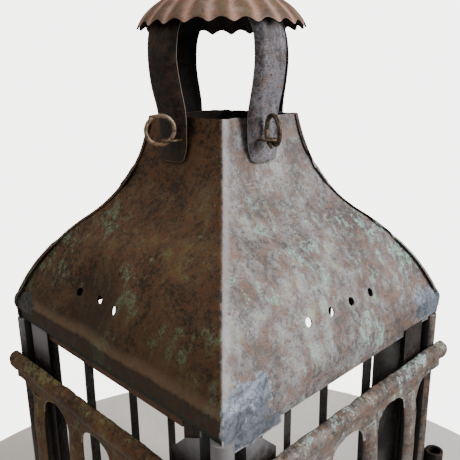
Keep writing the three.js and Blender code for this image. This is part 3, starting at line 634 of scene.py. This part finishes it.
def roofSheet(name, outline, turn):
    radius = roofShape["foldRadius"]
    points = []
    for half, up in profileRows:
        corner = min(radius, 0.6 * radius + up * 0.02)
        row = roundedPath(outline(half, up), corner, roofShape["columns"])
        points += [turn @ Vector((flat.x, flat.y, eavesHeight + up)) for flat in row]
    columns = len(points) // len(profileRows)
    piece = newPiece(name, points, gridFaces(len(profileRows), columns))
    normals = [vertex.normal.copy() for vertex in piece.data.vertices]
    for vertex, normal in zip(piece.data.vertices, normals):
        place = vertex.co.copy()
        level = Vector((normal.x, normal.y, 0.3 * normal.z)).normalized()
        wave = twoNoises(place, roofShape["waves"], roofShape["waveSize"])
        calm = min(1, (roofTop - place.z) / roofShape["calmBelowNeck"])
        vertex.co += level * (wave * calm + dentAt(place))
        if place.z - eavesHeight < 1 * mm:
            vertex.co.z += roofShape["edgeWave"] * noise.noise(place / (9 * mm))
        if place.z > roofTop - 1 * mm:
            vertex.co.z += roofShape["edgeWave"] * noise.noise(place / (6 * mm)) - 0.3 * mm
    addModifier(piece, "SOLIDIFY", thickness=roofShape["sheet"], offset=-1)
    addModifier(piece, "BEVEL", width=0.18 * mm, segments=1, limit_method="ANGLE", angle_limit=1.2)
    return settle(piece)


def ventCutter(side):
    points, faces = [], []
    sides = ventHoles["sides"]
    across = quarter(side)
    count = ventHoles["count"][side]
    for hole in range(count):
        along = (hole - (count - 1) / 2) * ventHoles["spacing"] + ventHoles["shift"][side]
        start = len(points)
        for depth in (-1, 1):
            for i in range(sides):
                angle = i * 2 * math.pi / sides
                up = ventHoles["up"] + ventHoles["radius"] * math.sin(angle)
                out = roofHalfAt(ventHoles["up"]) + depth * ventHoles["reach"]
                flat = Vector((along + ventHoles["radius"] * math.cos(angle), -out, eavesHeight + up))
                points.append(across @ flat)
        for i in range(sides):
            after = (i + 1) % sides
            faces.append((start + i, start + after, start + sides + after, start + sides + i))
        faces.append(tuple(start + i for i in reversed(range(sides))))
        faces.append(tuple(start + sides + i for i in range(sides)))
    cutter = newPiece("cutter", points, faces)
    weld(cutter)
    return cutter


def makeRoof():
    step = roofShape["lapStep"]

    def frontRight(half, up):
        end = half - 0.9 * mm
        return ((-end, -half), (half, -half), (half, end))

    def backLeft(half, up):
        tab = tabAt(up)
        out = half + step + tab["lift"]
        left = roofShape["leftLap"] + tab["wider"]
        right = roofShape["rightLap"] + tab["wider"]
        return ((-out, -half + right), (-out, -half), (half, -half), (half, out), (half - left, out))

    sheets = (("roofFrontRight", frontRight, 0, (0, 1)), ("roofBackLeft", backLeft, 2, (2, 3)))
    for name, outline, turns, vented in sheets:
        piece = roofSheet(name, outline, quarter(turns))
        for side in vented:
            cutter = ventCutter(side)
            addModifier(piece, "BOOLEAN", object=cutter, operation="DIFFERENCE", solver="EXACT")
            settle(piece)
            bpy.data.objects.remove(cutter)
        node = "roof_front_right" if turns == 0 else "roof_back_left"
        finishPiece(piece, "lantern", irons["roof"], [node], 40)
        roofSheets.append(piece)


roofSheets = []
makeRoof()
print("roof made")


# solder patches at the roof's corners

solderPatches = (
    {"corner": 0, "before": 9 * mm, "after": 41 * mm, "low": -9 * mm, "high": 26 * mm, "seed": 3.1},
    {"corner": 1, "before": 34 * mm, "after": 9 * mm, "low": -3 * mm, "high": 24 * mm, "seed": 7.7},
    {"corner": 2, "before": 18 * mm, "after": 20 * mm, "low": -4 * mm, "high": 20 * mm, "seed": 1.9},
    {"corner": 3, "before": 9 * mm, "after": 25 * mm, "low": 2 * mm, "high": 22 * mm, "seed": 5.3},
)
solderShape = {
    "steps": 44,
    "sheet": 1.1 * mm,
    "cornerWidth": 3 * mm,
    "castFrom": 8 * mm,
    "castReach": 14 * mm,
    "fullness": 0.78,
    "edge": 3.4,
    "ragged": (0.9, 0.4),
    "raggedSize": (9 * mm, 2.4 * mm),
    "lumps": (0.3, 0.12),
    "lumpSize": (4 * mm, 1.5 * mm),
    "rim": 0.25,
    "thick": 0.85 * mm,
    "sunk": 1.2 * mm,
}


def outerRoof():
    points, faces = [], []
    for sheet in roofSheets:
        start = len(points)
        points += [vertex.co.copy() for vertex in sheet.data.vertices]
        faces += [[start + index for index in face.vertices] for face in sheet.data.polygons]
    return BVHTree.FromPolygons(points, faces)


def makePatches():
    roof = outerRoof()
    points, faces = [], []
    steps = solderShape["steps"]
    cornerWidth = solderShape["cornerWidth"]
    for patch in solderPatches:
        start = len(points)
        turn = quarter(patch["corner"])
        for row in range(steps + 1):
            up = patch["low"] + (patch["high"] - patch["low"]) * row / steps
            half = roofHalfAt(max(up, 0))
            for column in range(steps + 1):
                along = -patch["before"] + (patch["after"] + patch["before"]) * column / steps
                spot = turn @ Vector((half + min(along, 0), -half + max(along, 0), eavesHeight + up))
                outward = Vector((1, 0, 0)) if along > 0 else Vector((0, -1, 0))
                if abs(along) < cornerWidth:
                    outward = Vector((1 + along / cornerWidth, along / cornerWidth - 1, 0)).normalized()
                outward = turn @ outward
                above = spot + outward * solderShape["castFrom"]
                spot = roof.ray_cast(above, -outward, solderShape["castReach"])[0] or spot
                fromMiddle = math.hypot(2 * column / steps - 1, 2 * row / steps - 1)
                place = Vector((along, up, patch["seed"] * 10 * mm))
                ragged = twoNoises(place, solderShape["ragged"], solderShape["raggedSize"])
                thick = (solderShape["fullness"] - fromMiddle) * solderShape["edge"] + ragged
                thick = min(1, max(-1, thick))
                lumps = twoNoises(place, solderShape["lumps"], solderShape["lumpSize"]) * mm
                rim = solderShape["rim"] * mm if 0 < thick < 0.45 else 0
                height = lumps + rim + solderShape["thick"] if thick > 0 else solderShape["sunk"]
                points.append(spot + outward * height * thick)
        for face in gridFaces(steps + 1, steps + 1):
            faces.append(tuple(start + index for index in face))
    piece = newPiece("solderPatches", points, faces)
    addModifier(piece, "SOLIDIFY", thickness=solderShape["sheet"], offset=-1)
    settle(piece)
    finishPiece(piece, "lantern", irons["solder"], (), 60)


makePatches()
print("solder patches made")


# fluted cap

capRim = eavesHeight + 183.2 * mm
capSheet = 1 * mm
capShape = {
    "Radius": capBox[1][0],
    "Rise": capBox[1][2] - capRim,
    "Rim": capRim,
    "Flutes": float(capFlutes["count"]),
    "Depth": 3.7 * mm,
    "Pull": 1.9 * mm,
    "Fullness": 0.75,
    "Phase": capFlutes["phase"],
    "Wobble": 0.9 * mm,
}


def setInputs(modifier, values):
    for item in modifier.node_group.interface.items_tree:
        if item.item_type == "SOCKET" and item.in_out == "INPUT" and item.name in values:
            modifier[item.identifier] = values[item.name]


def newGeometryTree(name, inputs):
    group = bpy.data.node_groups.new(name, "GeometryNodeTree")
    group.interface.new_socket("Geometry", in_out="OUTPUT", socket_type="NodeSocketGeometry")
    for label, kind in inputs.items():
        group.interface.new_socket(label, in_out="INPUT", socket_type=kind)
    tree = Tree(group)
    source = tree.node("NodeGroupInput")
    values = {label: Field(tree, source.outputs[label]) for label in inputs}
    return tree, values


def endGeometryTree(tree, geometry, material):
    real = tree.field("GeometryNodeRealizeInstances", None, {0: geometry})
    coated = tree.field("GeometryNodeSetMaterial", None, {"Geometry": real, "Material": material})
    tree.node("NodeGroupOutput", None, {0: coated})
    return tree.nodeTree


def runTree(name, group, values):
    piece = newPiece(name, [(0, 0, 0)], [])
    modifier = piece.modifiers.new("made", "NODES")
    modifier.node_group = group
    setInputs(modifier, values)
    return settle(piece)


def capTree():
    number = "NodeSocketFloat"
    tree, size = newGeometryTree("flutedCap", {label: number for label in capShape})
    grid = tree.field("GeometryNodeMeshGrid", None, {
        "Size X": 1.0, "Size Y": 1.0, "Vertices X": 34, "Vertices Y": 385})
    parts = tree.node("ShaderNodeSeparateXYZ", None, {0: tree.field("GeometryNodeInputPosition")})
    share = Field(tree, parts.outputs[0]) + 0.5
    angle = (Field(tree, parts.outputs[1]) + 0.5) * (2 * math.pi)
    bend = share * (math.pi / 2)
    along = tree.maths("SINE", bend)
    wave = tree.maths("ABSOLUTE", tree.maths("SINE", (angle - size["Phase"]) * size["Flutes"] * 0.5))
    # the low points between the arches are rounded off
    wave = (wave * wave + 0.13) ** 0.5 - 0.06
    dip = size["Depth"] * (along ** 1.7) * (1 - wave)
    radius = size["Radius"] * along - size["Pull"] * (along ** 1.5) * wave
    height = size["Rim"] + size["Rise"] * (1 - along * along) ** size["Fullness"] - dip
    spot = tree.field("ShaderNodeCombineXYZ", None, {
        0: radius * tree.maths("COSINE", angle), 1: radius * tree.maths("SINE", angle), 2: height})
    placed = tree.field("GeometryNodeSetPosition", None, {"Geometry": grid, "Position": spot})
    joined = tree.field("GeometryNodeMergeByDistance", None, {"Geometry": placed, "Distance": 0.02 * mm})
    bumps = tree.noise(tree.field("GeometryNodeInputPosition"), 16 * mm, 2)
    rise = tree.field("ShaderNodeCombineXYZ", None, {2: (bumps - 0.5) * size["Wobble"]})
    bent = tree.field("GeometryNodeSetPosition", None, {"Geometry": joined, "Offset": rise})
    return endGeometryTree(tree, bent, irons["cap"])


def makeCap():
    piece = runTree("flutedCap", capTree(), capShape)
    weld(piece, 0.02 * mm)
    up = sum(face.normal.z for face in piece.data.polygons)
    if up < 0:
        piece.data.flip_normals()
    addModifier(piece, "SOLIDIFY", thickness=capSheet, offset=-1)
    settle(piece)
    finishPiece(piece, "lantern", irons["cap"], ["cap"], 60)


makeCap()
print("cap made")


# straps

strapShape = {
    "width": 25 * mm,
    "shift": -4 * mm,
    "turnIn": 3.6 * mm,
    "edge": 4.5 * mm,
    "crown": 0.8 * mm,
    "sheet": 1.1 * mm,
    "lean": {"front": 1.8 * mm, "right": -2.0 * mm, "back": 0, "left": 0.6 * mm},
    "steps": 44,
    "columns": 15,
    "path": ((40.2, 107), (40.4, 120), (41.2, 134), (44.8, 152),
             (46, 166), (44, 179), (38, 188.5), (28, 194.5)),
}


def smoothPath(points, steps):
    # a smooth line through the points
    ends = [2 * points[0] - points[1], *points, 2 * points[-1] - points[-2]]
    line = []
    spans = len(points) - 1
    for i in range(steps + 1):
        at = min(i * spans / steps, spans - 1e-6)
        k, t = int(at), at - int(at)
        a, b, c, d = ends[k:k + 4]
        line.append(0.5 * (2 * b + (c - a) * t + (2 * a - 5 * b + 4 * c - d) * t * t
                           + (3 * b - a - 3 * c + d) * t * t * t))
    return line


def strapSurface(side):
    path = [Vector((0, -out * mm, eavesHeight + up * mm)) for out, up in strapShape["path"]]
    line = smoothPath(path, strapShape["steps"])
    half = strapShape["width"] / 2
    columns = strapShape["columns"]
    points = []
    for index, spot in enumerate(line):
        ahead = line[min(index + 1, len(line) - 1)] - line[max(index - 1, 0)]
        inward = Vector((0, ahead.z, -ahead.y)).normalized()
        share = index / strapShape["steps"]
        beaten = min(1, 0.1 + 3 * share)
        taper = min(1, 0.82 + 1.8 * share)
        lean = strapShape["lean"][sideNames[side]] * max(0, 1 - 2.5 * share)
        for column in range(columns):
            across = -half + 2 * half * column / (columns - 1)
            over = max(0, abs(across) - (half - strapShape["edge"])) / strapShape["edge"]
            deep = strapShape["turnIn"] * over ** 1.3 * beaten + strapShape["crown"] * (across / half) ** 2
            wobble = 0.35 * mm * noise.noise(Vector((across, spot.z, side * 0.1)) / (14 * mm))
            point = spot + inward * (deep + wobble)
            point.x = across * taper + strapShape["shift"] + lean
            if index < 3:
                point.z += (3 - index) * 0.55 * mm * abs(across / half) ** 6
            points.append(quarter(side) @ point)
    return points, gridFaces(len(line), columns)


def sweptWire(line, radius, sides=12):
    # a round wire along a line of points, with rounded ends
    points, faces = [], []
    count = len(line)
    normal = None
    for index, spot in enumerate(line):
        ahead = (line[min(index + 1, count - 1)] - line[max(index - 1, 0)]).normalized()
        if normal is None:
            normal = ahead.orthogonal().normalized()
        normal = (normal - ahead * normal.dot(ahead)).normalized()
        other = ahead.cross(normal)
        small = 0.55 if index in (0, count - 1) else 1
        for i in range(sides):
            angle = i * 2 * math.pi / sides
            points.append(spot + (normal * math.cos(angle) + other * math.sin(angle)) * radius * small)
    faces = gridFaces(count, sides, closed=True)
    faces.append(tuple(reversed(range(sides))))
    faces.append(tuple((count - 1) * sides + i for i in range(sides)))
    return points, faces


def joinMeshes(name, parts):
    points, faces = [], []
    for partPoints, partFaces in parts:
        start = len(points)
        points += list(partPoints)
        faces += [tuple(start + index for index in face) for face in partFaces]
    return newPiece(name, points, faces)


eyeShape = {"radius": 4.2 * mm, "wire": 0.8 * mm, "tail": 3.4 * mm, "from": 62, "to": 298, "steps": 24}


def strapEyeWire(side):
    turn = quarter(side)
    centre = turn.inverted() @ Vector(joints[f"strap_ring_{sideNames[side]}_swing"]["pos_m"])
    line = []
    for i in range(eyeShape["steps"] + 1):
        bend = (eyeShape["to"] - eyeShape["from"]) * i / eyeShape["steps"]
        angle = math.radians(eyeShape["from"] + bend)
        line.append(centre + Vector((math.sin(angle), math.cos(angle), 0)) * eyeShape["radius"])
    inward = Vector((0, eyeShape["tail"], 0))
    line = [line[0] + inward, *line, line[-1] + inward]
    return sweptWire([turn @ spot for spot in line], eyeShape["wire"], 10)


def makeStraps():
    for side, name in enumerate(sideNames):
        points, faces = strapSurface(side)
        piece = newPiece("strap" + name.capitalize(), points, faces)
        outward = quarter(side) @ Vector((0, -1, 0))
        facing = sum(face.normal.dot(outward) for face in piece.data.polygons)
        if facing < 0:
            piece.data.flip_normals()
        addModifier(piece, "SOLIDIFY", thickness=strapShape["sheet"], offset=-1)
        addModifier(piece, "BEVEL", width=0.25 * mm, segments=2, limit_method="ANGLE", angle_limit=1.0)
        settle(piece)
        # painted shade and light: the front and left straps get a dark shaded copy of the strap iron, the
        # right and back straps a pale lit copy
        finish = irons["strapPaintedShade"] if name in ("front", "left") else irons["strapPaintedLight"]
        finishPiece(piece, "lantern", finish, ["strap_" + name], 50)
    eyes = joinMeshes("strapEyes", [strapEyeWire(side) for side in range(len(sideNames))])
    finishPiece(eyes, "lantern", irons["darkWire"], (), 60)


makeStraps()
print("straps made")


# rings in the straps

ringShape = {
    "radius": 7.8 * mm,
    "wire": 1.25 * mm,
    "start": 292,
    "wound": 386,
    "spread": 2.7 * mm,
    "steps": 64,
    "lift": {"front": 46, "right": 46, "back": -45, "left": -45},
    "tail": {"front": 2.5 * mm, "right": 4.5 * mm, "back": 2 * mm, "left": 3 * mm},
}


def makeStrapRings():
    radius = ringShape["radius"]
    steps = ringShape["steps"]
    for name in sideNames:
        hinge = joints[f"strap_ring_{name}_swing"]
        axis = Vector(hinge["axis"])
        away = Vector((axis.y, -axis.x, 0))
        lift = math.radians(ringShape["lift"][name])
        rise = Vector((0, 0, radius * math.sin(lift)))
        middle = Vector(hinge["pos_m"]) + away * radius * math.cos(lift) + rise
        line = []
        for i in range(steps + 1):
            angle = math.radians(ringShape["start"] + ringShape["wound"] * i / steps)
            grow = radius * (1 + 0.03 * math.sin(2 * angle))
            aside = axis * (i / steps - 0.5) * ringShape["spread"]
            above = Vector((0, 0, math.sin(angle) * grow))
            line.append(middle + aside - away * math.cos(angle) * grow + above)
        ahead = (line[0] - line[2]).normalized()
        line.insert(0, line[0] + ahead * ringShape["tail"][name])
        piece = newPiece("strapRing" + name.capitalize(), *sweptWire(line, ringShape["wire"], 14))
        finish = irons["paleWire"] if name in ("front", "back") else irons["darkWire"]
        finishPiece(piece, "ring_" + name, finish, ["strap_ring_" + name], 60)


makeStrapRings()
print("strap rings made")


# guard rails, sills and balusters

guardShape = {
    "plane": 101.3 * mm,
    "drop": {"front": 25 * mm, "right": 20 * mm},
    "rail": 6.2 * mm,
    "overrun": 106 * mm,
    "sheet": 1.5 * mm,
    "crown": 20.5 * mm,
    "archRise": 9.5 * mm,
    "foot": 3 * mm,
    "spacing": 47 * mm,
    "shift": -4.5 * mm,
    "count": 4,
    "footWidth": 17 * mm,
    "footTaper": 0.6 * mm,
    "archSteps": 12,
    "cornerReach": 3.5 * mm,
    "inset": 2.5 * mm,
    "endRound": 7 * mm,
    "voxel": 0.55 * mm,
    "balusterWidth": 14 * mm,
    "balusterDepth": 5 * mm,
    "balusterSheet": 1.1 * mm,
    "tuckedUp": 9 * mm,
}


def balusterCentres():
    count = guardShape["count"]
    return [(i - (count - 1) / 2) * guardShape["spacing"] + guardShape["shift"] for i in range(count)]


def arcadeOutline(start, end, top):
    # the sheet under the rail, seen from the front: arches between the balusters
    crown = top - guardShape["crown"]
    spring = crown - guardShape["archRise"]
    foot = spring - guardShape["foot"]
    halfFoot = guardShape["footWidth"] / 2
    halfSpan = (guardShape["spacing"] - guardShape["footWidth"]) / 2
    steps = guardShape["archSteps"]
    taper = guardShape["footTaper"]

    def archPoint(middle, angle):
        return middle + halfSpan * math.cos(angle), spring + guardShape["archRise"] * math.sin(angle)

    outline = [(start, top - guardShape["rail"]), (start, crown)]
    for centre in balusterCentres():
        before = centre - halfFoot - halfSpan
        after = centre + halfFoot + halfSpan
        outline += [archPoint(before, math.pi / 2 * (1 - i / steps)) for i in range(steps + 1)]
        outline += [(centre - halfFoot + taper, foot), (centre + halfFoot - taper, foot)]
        outline += [archPoint(after, math.pi - math.pi / 2 * i / steps) for i in range(steps + 1)]
    outline += [(end, crown), (end, top - guardShape["rail"])]
    return outline


def slab(outline, front, back):
    count = len(outline)
    points = [Vector((x, front, z)) for x, z in outline] + [Vector((x, back, z)) for x, z in outline]
    faces = [tuple(range(count)), tuple(reversed(range(count, 2 * count)))]
    for i in range(count):
        after = (i + 1) % count
        faces.append((i, i + count, after + count, after))
    return points, faces


def barrelRail(start, end, centreZ, faceY, radius, freeEnd):
    # a long bar, round in front, drawn in at its free end
    points = []
    rows, sides = 60, 24
    for row in range(rows + 1):
        share = row / rows
        x = start + (end - start) * share
        fromEnd = (end - x) if freeEnd > 0 else (x - start)
        small = math.sqrt(max(0.06, 1 - max(0, 1 - fromEnd / guardShape["endRound"]) ** 2))
        for i in range(sides):
            angle = i * 2 * math.pi / sides
            deep = -radius * small * math.sin(angle)
            deep = deep if deep < 0 else deep * 0.25
            points.append(Vector((x, faceY + deep, centreZ + radius * small * math.cos(angle))))
    faces = gridFaces(rows + 1, sides, closed=True)
    faces.append(tuple(reversed(range(sides))))
    faces.append(tuple(rows * sides + i for i in range(sides)))
    return points, faces


def makeGuard(name, cornerSign):
    turn = quarter(sideNames.index(name))
    top = eavesHeight - guardShape["drop"][name]
    reach = guardShape["plane"] + guardShape["cornerReach"]
    start = -guardShape["overrun"] if cornerSign > 0 else -reach
    end = reach if cornerSign > 0 else guardShape["overrun"]
    front = -(guardShape["plane"] + guardShape["sheet"])
    back = -guardShape["plane"]
    radius = guardShape["rail"]
    innerStart = start + (guardShape["inset"] if cornerSign > 0 else 0)
    innerEnd = end - (guardShape["inset"] if cornerSign < 0 else 0)
    arcade = slab(arcadeOutline(innerStart, innerEnd, top), front, back)
    rail = barrelRail(start, end, top - radius, front + 0.3 * mm, radius, -cornerSign)
    piece = joinMeshes("guardRail" + name.capitalize(), [arcade, rail])
    weld(piece)
    addModifier(piece, "REMESH", mode="VOXEL", voxel_size=guardShape["voxel"], use_smooth_shade=True)
    addModifier(piece, "SMOOTH", factor=0.5, iterations=4)
    settle(piece)
    roughen(piece, 0.55 * mm, 11 * mm, 2.0)
    roughen(piece, 0.28 * mm, 3.2 * mm, 5.0)
    piece.data.transform(turn)
    finishPiece(piece, "lantern", irons["rail"], ["guard_rail_" + name], 80)


def balusterTree():
    number = "NodeSocketFloat"
    inputs = {label: number for label in ("Width", "Depth", "Height", "Spacing")}
    inputs.update({"Count": "NodeSocketInt", "First": "NodeSocketVector"})
    tree, size = newGeometryTree("balusterRow", inputs)
    section = tree.field("GeometryNodeCurveArc", {"mode": "RADIUS"}, {
        "Resolution": 15, "Radius": size["Width"] * 0.5, "Sweep Angle": math.pi})
    squashed = tree.field("GeometryNodeTransform", None, {
        "Geometry": section, "Scale": tree.field("ShaderNodeCombineXYZ", None, {
            0: 1.0, 1: size["Depth"] / (size["Width"] * 0.5), 2: 1.0})})
    upright = tree.field("GeometryNodeCurvePrimitiveLine", None, {
        "Start": (0, 0, 0), "End": tree.field("ShaderNodeCombineXYZ", None, {2: size["Height"]})})
    rail = tree.field("GeometryNodeResampleCurve", None, {"Curve": upright, "Count": 24})
    sheet = tree.field("GeometryNodeCurveToMesh", None, {"Curve": rail, "Profile Curve": squashed})
    row = tree.field("GeometryNodeMeshLine", None, {
        "Count": size["Count"], "Start Location": size["First"],
        "Offset": tree.field("ShaderNodeCombineXYZ", None, {0: size["Spacing"]})})
    copies = tree.field("GeometryNodeInstanceOnPoints", None, {"Points": row, "Instance": sheet})
    return endGeometryTree(tree, copies, irons["rail"])


def makeBalusters(group, name):
    turn = quarter(sideNames.index(name))
    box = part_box(f"baluster_{name}_1")
    bottom = box[0][2]
    height = box[1][2] - bottom + guardShape["tuckedUp"]
    centres = balusterCentres()
    piece = runTree("balusters" + name.capitalize(), group, {
        "Width": guardShape["balusterWidth"], "Depth": guardShape["balusterDepth"], "Height": height,
        "Spacing": guardShape["spacing"], "Count": guardShape["count"],
        "First": (centres[0], -guardShape["plane"], bottom)})
    weld(piece)
    for vertex in piece.data.vertices:
        centre = min(centres, key=lambda x: abs(x - vertex.co.x))
        share = (vertex.co.z - bottom) / height
        near = max(0, (share - 0.88) / 0.12)
        vertex.co.x = centre + (vertex.co.x - centre) * (1 + 0.16 * near ** 2)
        out = abs(vertex.co.y + guardShape["plane"]) * (1 - 0.62 * near ** 1.5)
        vertex.co.y = -guardShape["plane"] - out
    piece.data.update()
    facing = sum(face.normal.y for face in piece.data.polygons)
    if facing > 0:
        piece.data.flip_normals()
    roughen(piece, 0.5 * mm, 12 * mm, 1.0)
    addModifier(piece, "SOLIDIFY", thickness=guardShape["balusterSheet"], offset=-1)
    addModifier(piece, "BEVEL", width=0.22 * mm, segments=2, limit_method="ANGLE", angle_limit=1.0)
    settle(piece)
    piece.data.transform(turn)
    nodes = [f"baluster_{name}_{i + 1}" for i in range(guardShape["count"])]
    finishPiece(piece, "lantern", irons["rail"], nodes, 50)


makeGuard("front", 1)
makeGuard("right", -1)
balusterGroup = balusterTree()
makeBalusters(balusterGroup, "front")
makeBalusters(balusterGroup, "right")
print("guards made")


# window bars

barShape = {"Width": 7 * mm, "Thickness": 1.5 * mm, "Spacing": 37 * mm, "Count": 4}


def barTree():
    number = "NodeSocketFloat"
    inputs = {label: number for label in ("Width", "Thickness", "Height", "Spacing")}
    inputs.update({"Count": "NodeSocketInt", "First": "NodeSocketVector"})
    tree, size = newGeometryTree("barRow", inputs)
    block = tree.field("ShaderNodeCombineXYZ", None, {
        0: size["Width"], 1: size["Thickness"], 2: size["Height"]})
    bar = tree.field("GeometryNodeMeshCube", None, {
        "Size": block, "Vertices X": 4, "Vertices Y": 2, "Vertices Z": 60})
    row = tree.field("GeometryNodeMeshLine", None, {
        "Count": size["Count"], "Start Location": size["First"],
        "Offset": tree.field("ShaderNodeCombineXYZ", None, {0: size["Spacing"]})})
    copies = tree.field("GeometryNodeInstanceOnPoints", None, {"Points": row, "Instance": bar})
    return endGeometryTree(tree, copies, irons["dark"])


def makeBars(group, title, prefix, side, body):
    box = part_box(prefix + "1")
    bottom, top = box[0][2], box[1][2]
    turn = quarter(side)
    local = turn.inverted() @ ((Vector(box[0]) + Vector(box[1])) / 2)
    first = -(barShape["Count"] - 1) / 2 * barShape["Spacing"]
    values = dict(barShape)
    values.update({"Height": top - bottom, "First": (first, local.y, (bottom + top) / 2)})
    piece = runTree(title, group, values)
    for vertex in piece.data.vertices:
        vertex.co.x += 0.5 * mm * noise.noise(Vector((vertex.co.x * 3, 0, vertex.co.z)) / (60 * mm))
    piece.data.transform(turn)
    addModifier(piece, "BEVEL", width=0.3 * mm, segments=2, limit_method="ANGLE", angle_limit=0.8)
    settle(piece)
    nodes = [f"{prefix}{i + 1}" for i in range(barShape["Count"])]
    finishPiece(piece, body, irons["dark"], nodes)


barGroup = barTree()
makeBars(barGroup, "windowBarsLeft", "window_bar_left_", 3, "lantern")
makeBars(barGroup, "doorBars", "door_bar_", 2, "door")
print("bars made")


# the rest: softened copies of the plain parts

def soften(node, body, material, edge):
    source = frame["nodes"][node]
    piece = bpy.data.objects.new(node + "_soft", source.data.copy())
    bpy.context.scene.collection.objects.link(piece)
    work = bmesh.new()
    work.from_mesh(piece.data)
    bmesh.ops.remove_doubles(work, verts=work.verts, dist=0.02 * mm)
    bmesh.ops.dissolve_limit(work, angle_limit=math.radians(1), verts=work.verts, edges=work.edges)
    work.to_mesh(piece.data)
    work.free()
    addModifier(piece, "BEVEL", width=edge, segments=2, limit_method="ANGLE", angle_limit=0.9)
    settle(piece)
    finishPiece(piece, body, material, [node])


bodyOf = {}
for bodyName, members in frame["record"]["behaviour"]["bodies"].items():
    for member in members:
        bodyOf[member] = bodyName

plainParts = {
    "corner_post_": ("post", 0.25 * mm),
    "glazing_channel_": ("dark", 0.2 * mm),
    "head_rail_right": ("roof", 0.25 * mm),
    "head_rail_": ("redRail", 0.25 * mm),
    "guard_sill_": ("rail", 0.3 * mm),
    "base_pan": ("dark", 0.5 * mm),
    "floor_plate": ("dark", 0.4 * mm),
    "candle_holder": ("dark", 0.2 * mm),
    "crown_eye": ("darkWire", 0.15 * mm),
    "hanging_ring": ("darkWire", 0.1 * mm),
    "door_frame": ("dark", 0.3 * mm),
    "hinge_pintle_": ("dark", 0.3 * mm),
    "latch_": ("dark", 0.2 * mm),
}
glassEdge = 0.3 * mm

for node in sorted(frame["nodes"]):
    for prefix, (finish, edge) in plainParts.items():
        if node.startswith(prefix):
            soften(node, bodyOf[node], irons[finish], edge)
            break
for node in ("glass_front", "glass_right", "glass_left", "door_glass"):
    soften(node, bodyOf[node], glassFinish, glassEdge)
print("plain parts softened")


# stage, light and camera

studio = {
    "floorRadius": 0.34,
    "floorSides": 96,
    "wallSeen": (5.2, 5.05, 4.9),
    "roomLight": (0.30, 0.29, 0.28),
    "lightTarget": (0, 0, 0.3),
}


def makeStage():
    radius, sides = studio["floorRadius"], studio["floorSides"]
    angles = [i * 2 * math.pi / sides for i in range(sides)]
    points = [(radius * math.cos(angle), radius * math.sin(angle), cadBox[0][2]) for angle in angles]
    floor = newPiece("floor", points, [tuple(range(sides))])
    material, paint = newPaint("paleFloor")
    place = paint.field("ShaderNodeTexCoord", output="Object")
    shade = paint.mix(paint.noise(place, 0.3, 3), (0.88, 0.86, 0.84), (0.92, 0.90, 0.88))
    shader = paint.field("ShaderNodeBsdfPrincipled", None, {"Base Color": shade, "Roughness": 0.7})
    paint.node("ShaderNodeOutputMaterial", None, {"Surface": shader})
    floor.data.materials.append(material)


def addLight(name, place, size, power, colour):
    lamp = bpy.data.lights.new(name, "AREA")
    lamp.shape = "RECTANGLE"
    lamp.size, lamp.size_y = size
    lamp.energy = power
    lamp.color = colour
    holder = bpy.data.objects.new(name, lamp)
    holder.location = place
    aim = Vector(studio["lightTarget"]) - Vector(place)
    holder.rotation_euler = aim.to_track_quat("-Z", "Y").to_euler()
    bpy.context.scene.collection.objects.link(holder)


def makeWorld(seen, lit):
    # the wall is seen bright, but the room behind the camera is dim
    world = bpy.data.worlds.new("studio")
    world.use_nodes = True
    world.node_tree.nodes.clear()
    tree = Tree(world.node_tree)
    seenByCamera = tree.field("ShaderNodeLightPath", output="Is Camera Ray")
    wall = tree.field("ShaderNodeBackground", None, {"Color": (*seen, 1), "Strength": 1.0})
    room = tree.field("ShaderNodeBackground", None, {"Color": (*lit, 1), "Strength": 1.0})
    both = tree.field("ShaderNodeMixShader", None, {0: seenByCamera, 1: room, 2: wall})
    tree.node("ShaderNodeOutputWorld", None, {"Surface": both})
    bpy.context.scene.world = world


cameraShape = {
    "place": (0.25101, -0.24135, 0.40480),
    "forward": (-0.68836, 0.67434, -0.26726),
    "roll": -0.0135,
    "lens": 43.9,
    "sensor": 36,
}


def makeCamera():
    lens = bpy.data.cameras.new("camera")
    lens.lens = cameraShape["lens"]
    lens.sensor_width = cameraShape["sensor"]
    lens.clip_start = 0.01
    holder = bpy.data.objects.new("camera", lens)
    bpy.context.scene.collection.objects.link(holder)
    forward = Vector(cameraShape["forward"]).normalized()
    level = forward.cross(Vector((0, 0, 1))).normalized()
    upright = level.cross(forward)
    roll = cameraShape["roll"]
    right = level * math.cos(roll) + upright * math.sin(roll)
    up = right.cross(forward)
    turn = Matrix((right, up, -forward)).transposed()
    holder.matrix_world = Matrix.Translation(cameraShape["place"]) @ turn.to_4x4()
    bpy.context.scene.camera = holder


makeStage()
makeWorld(studio["wallSeen"], studio["roomLight"])
addLight("window", (1.5, 0.75, 1.15), (1.0, 1.3), 42, (1.0, 0.985, 0.97))
addLight("bounce", (-0.35, -0.75, 1.75), (1.0, 1.0), 10, (1.0, 0.90, 0.78))
makeCamera()
print("stage, light and camera made")
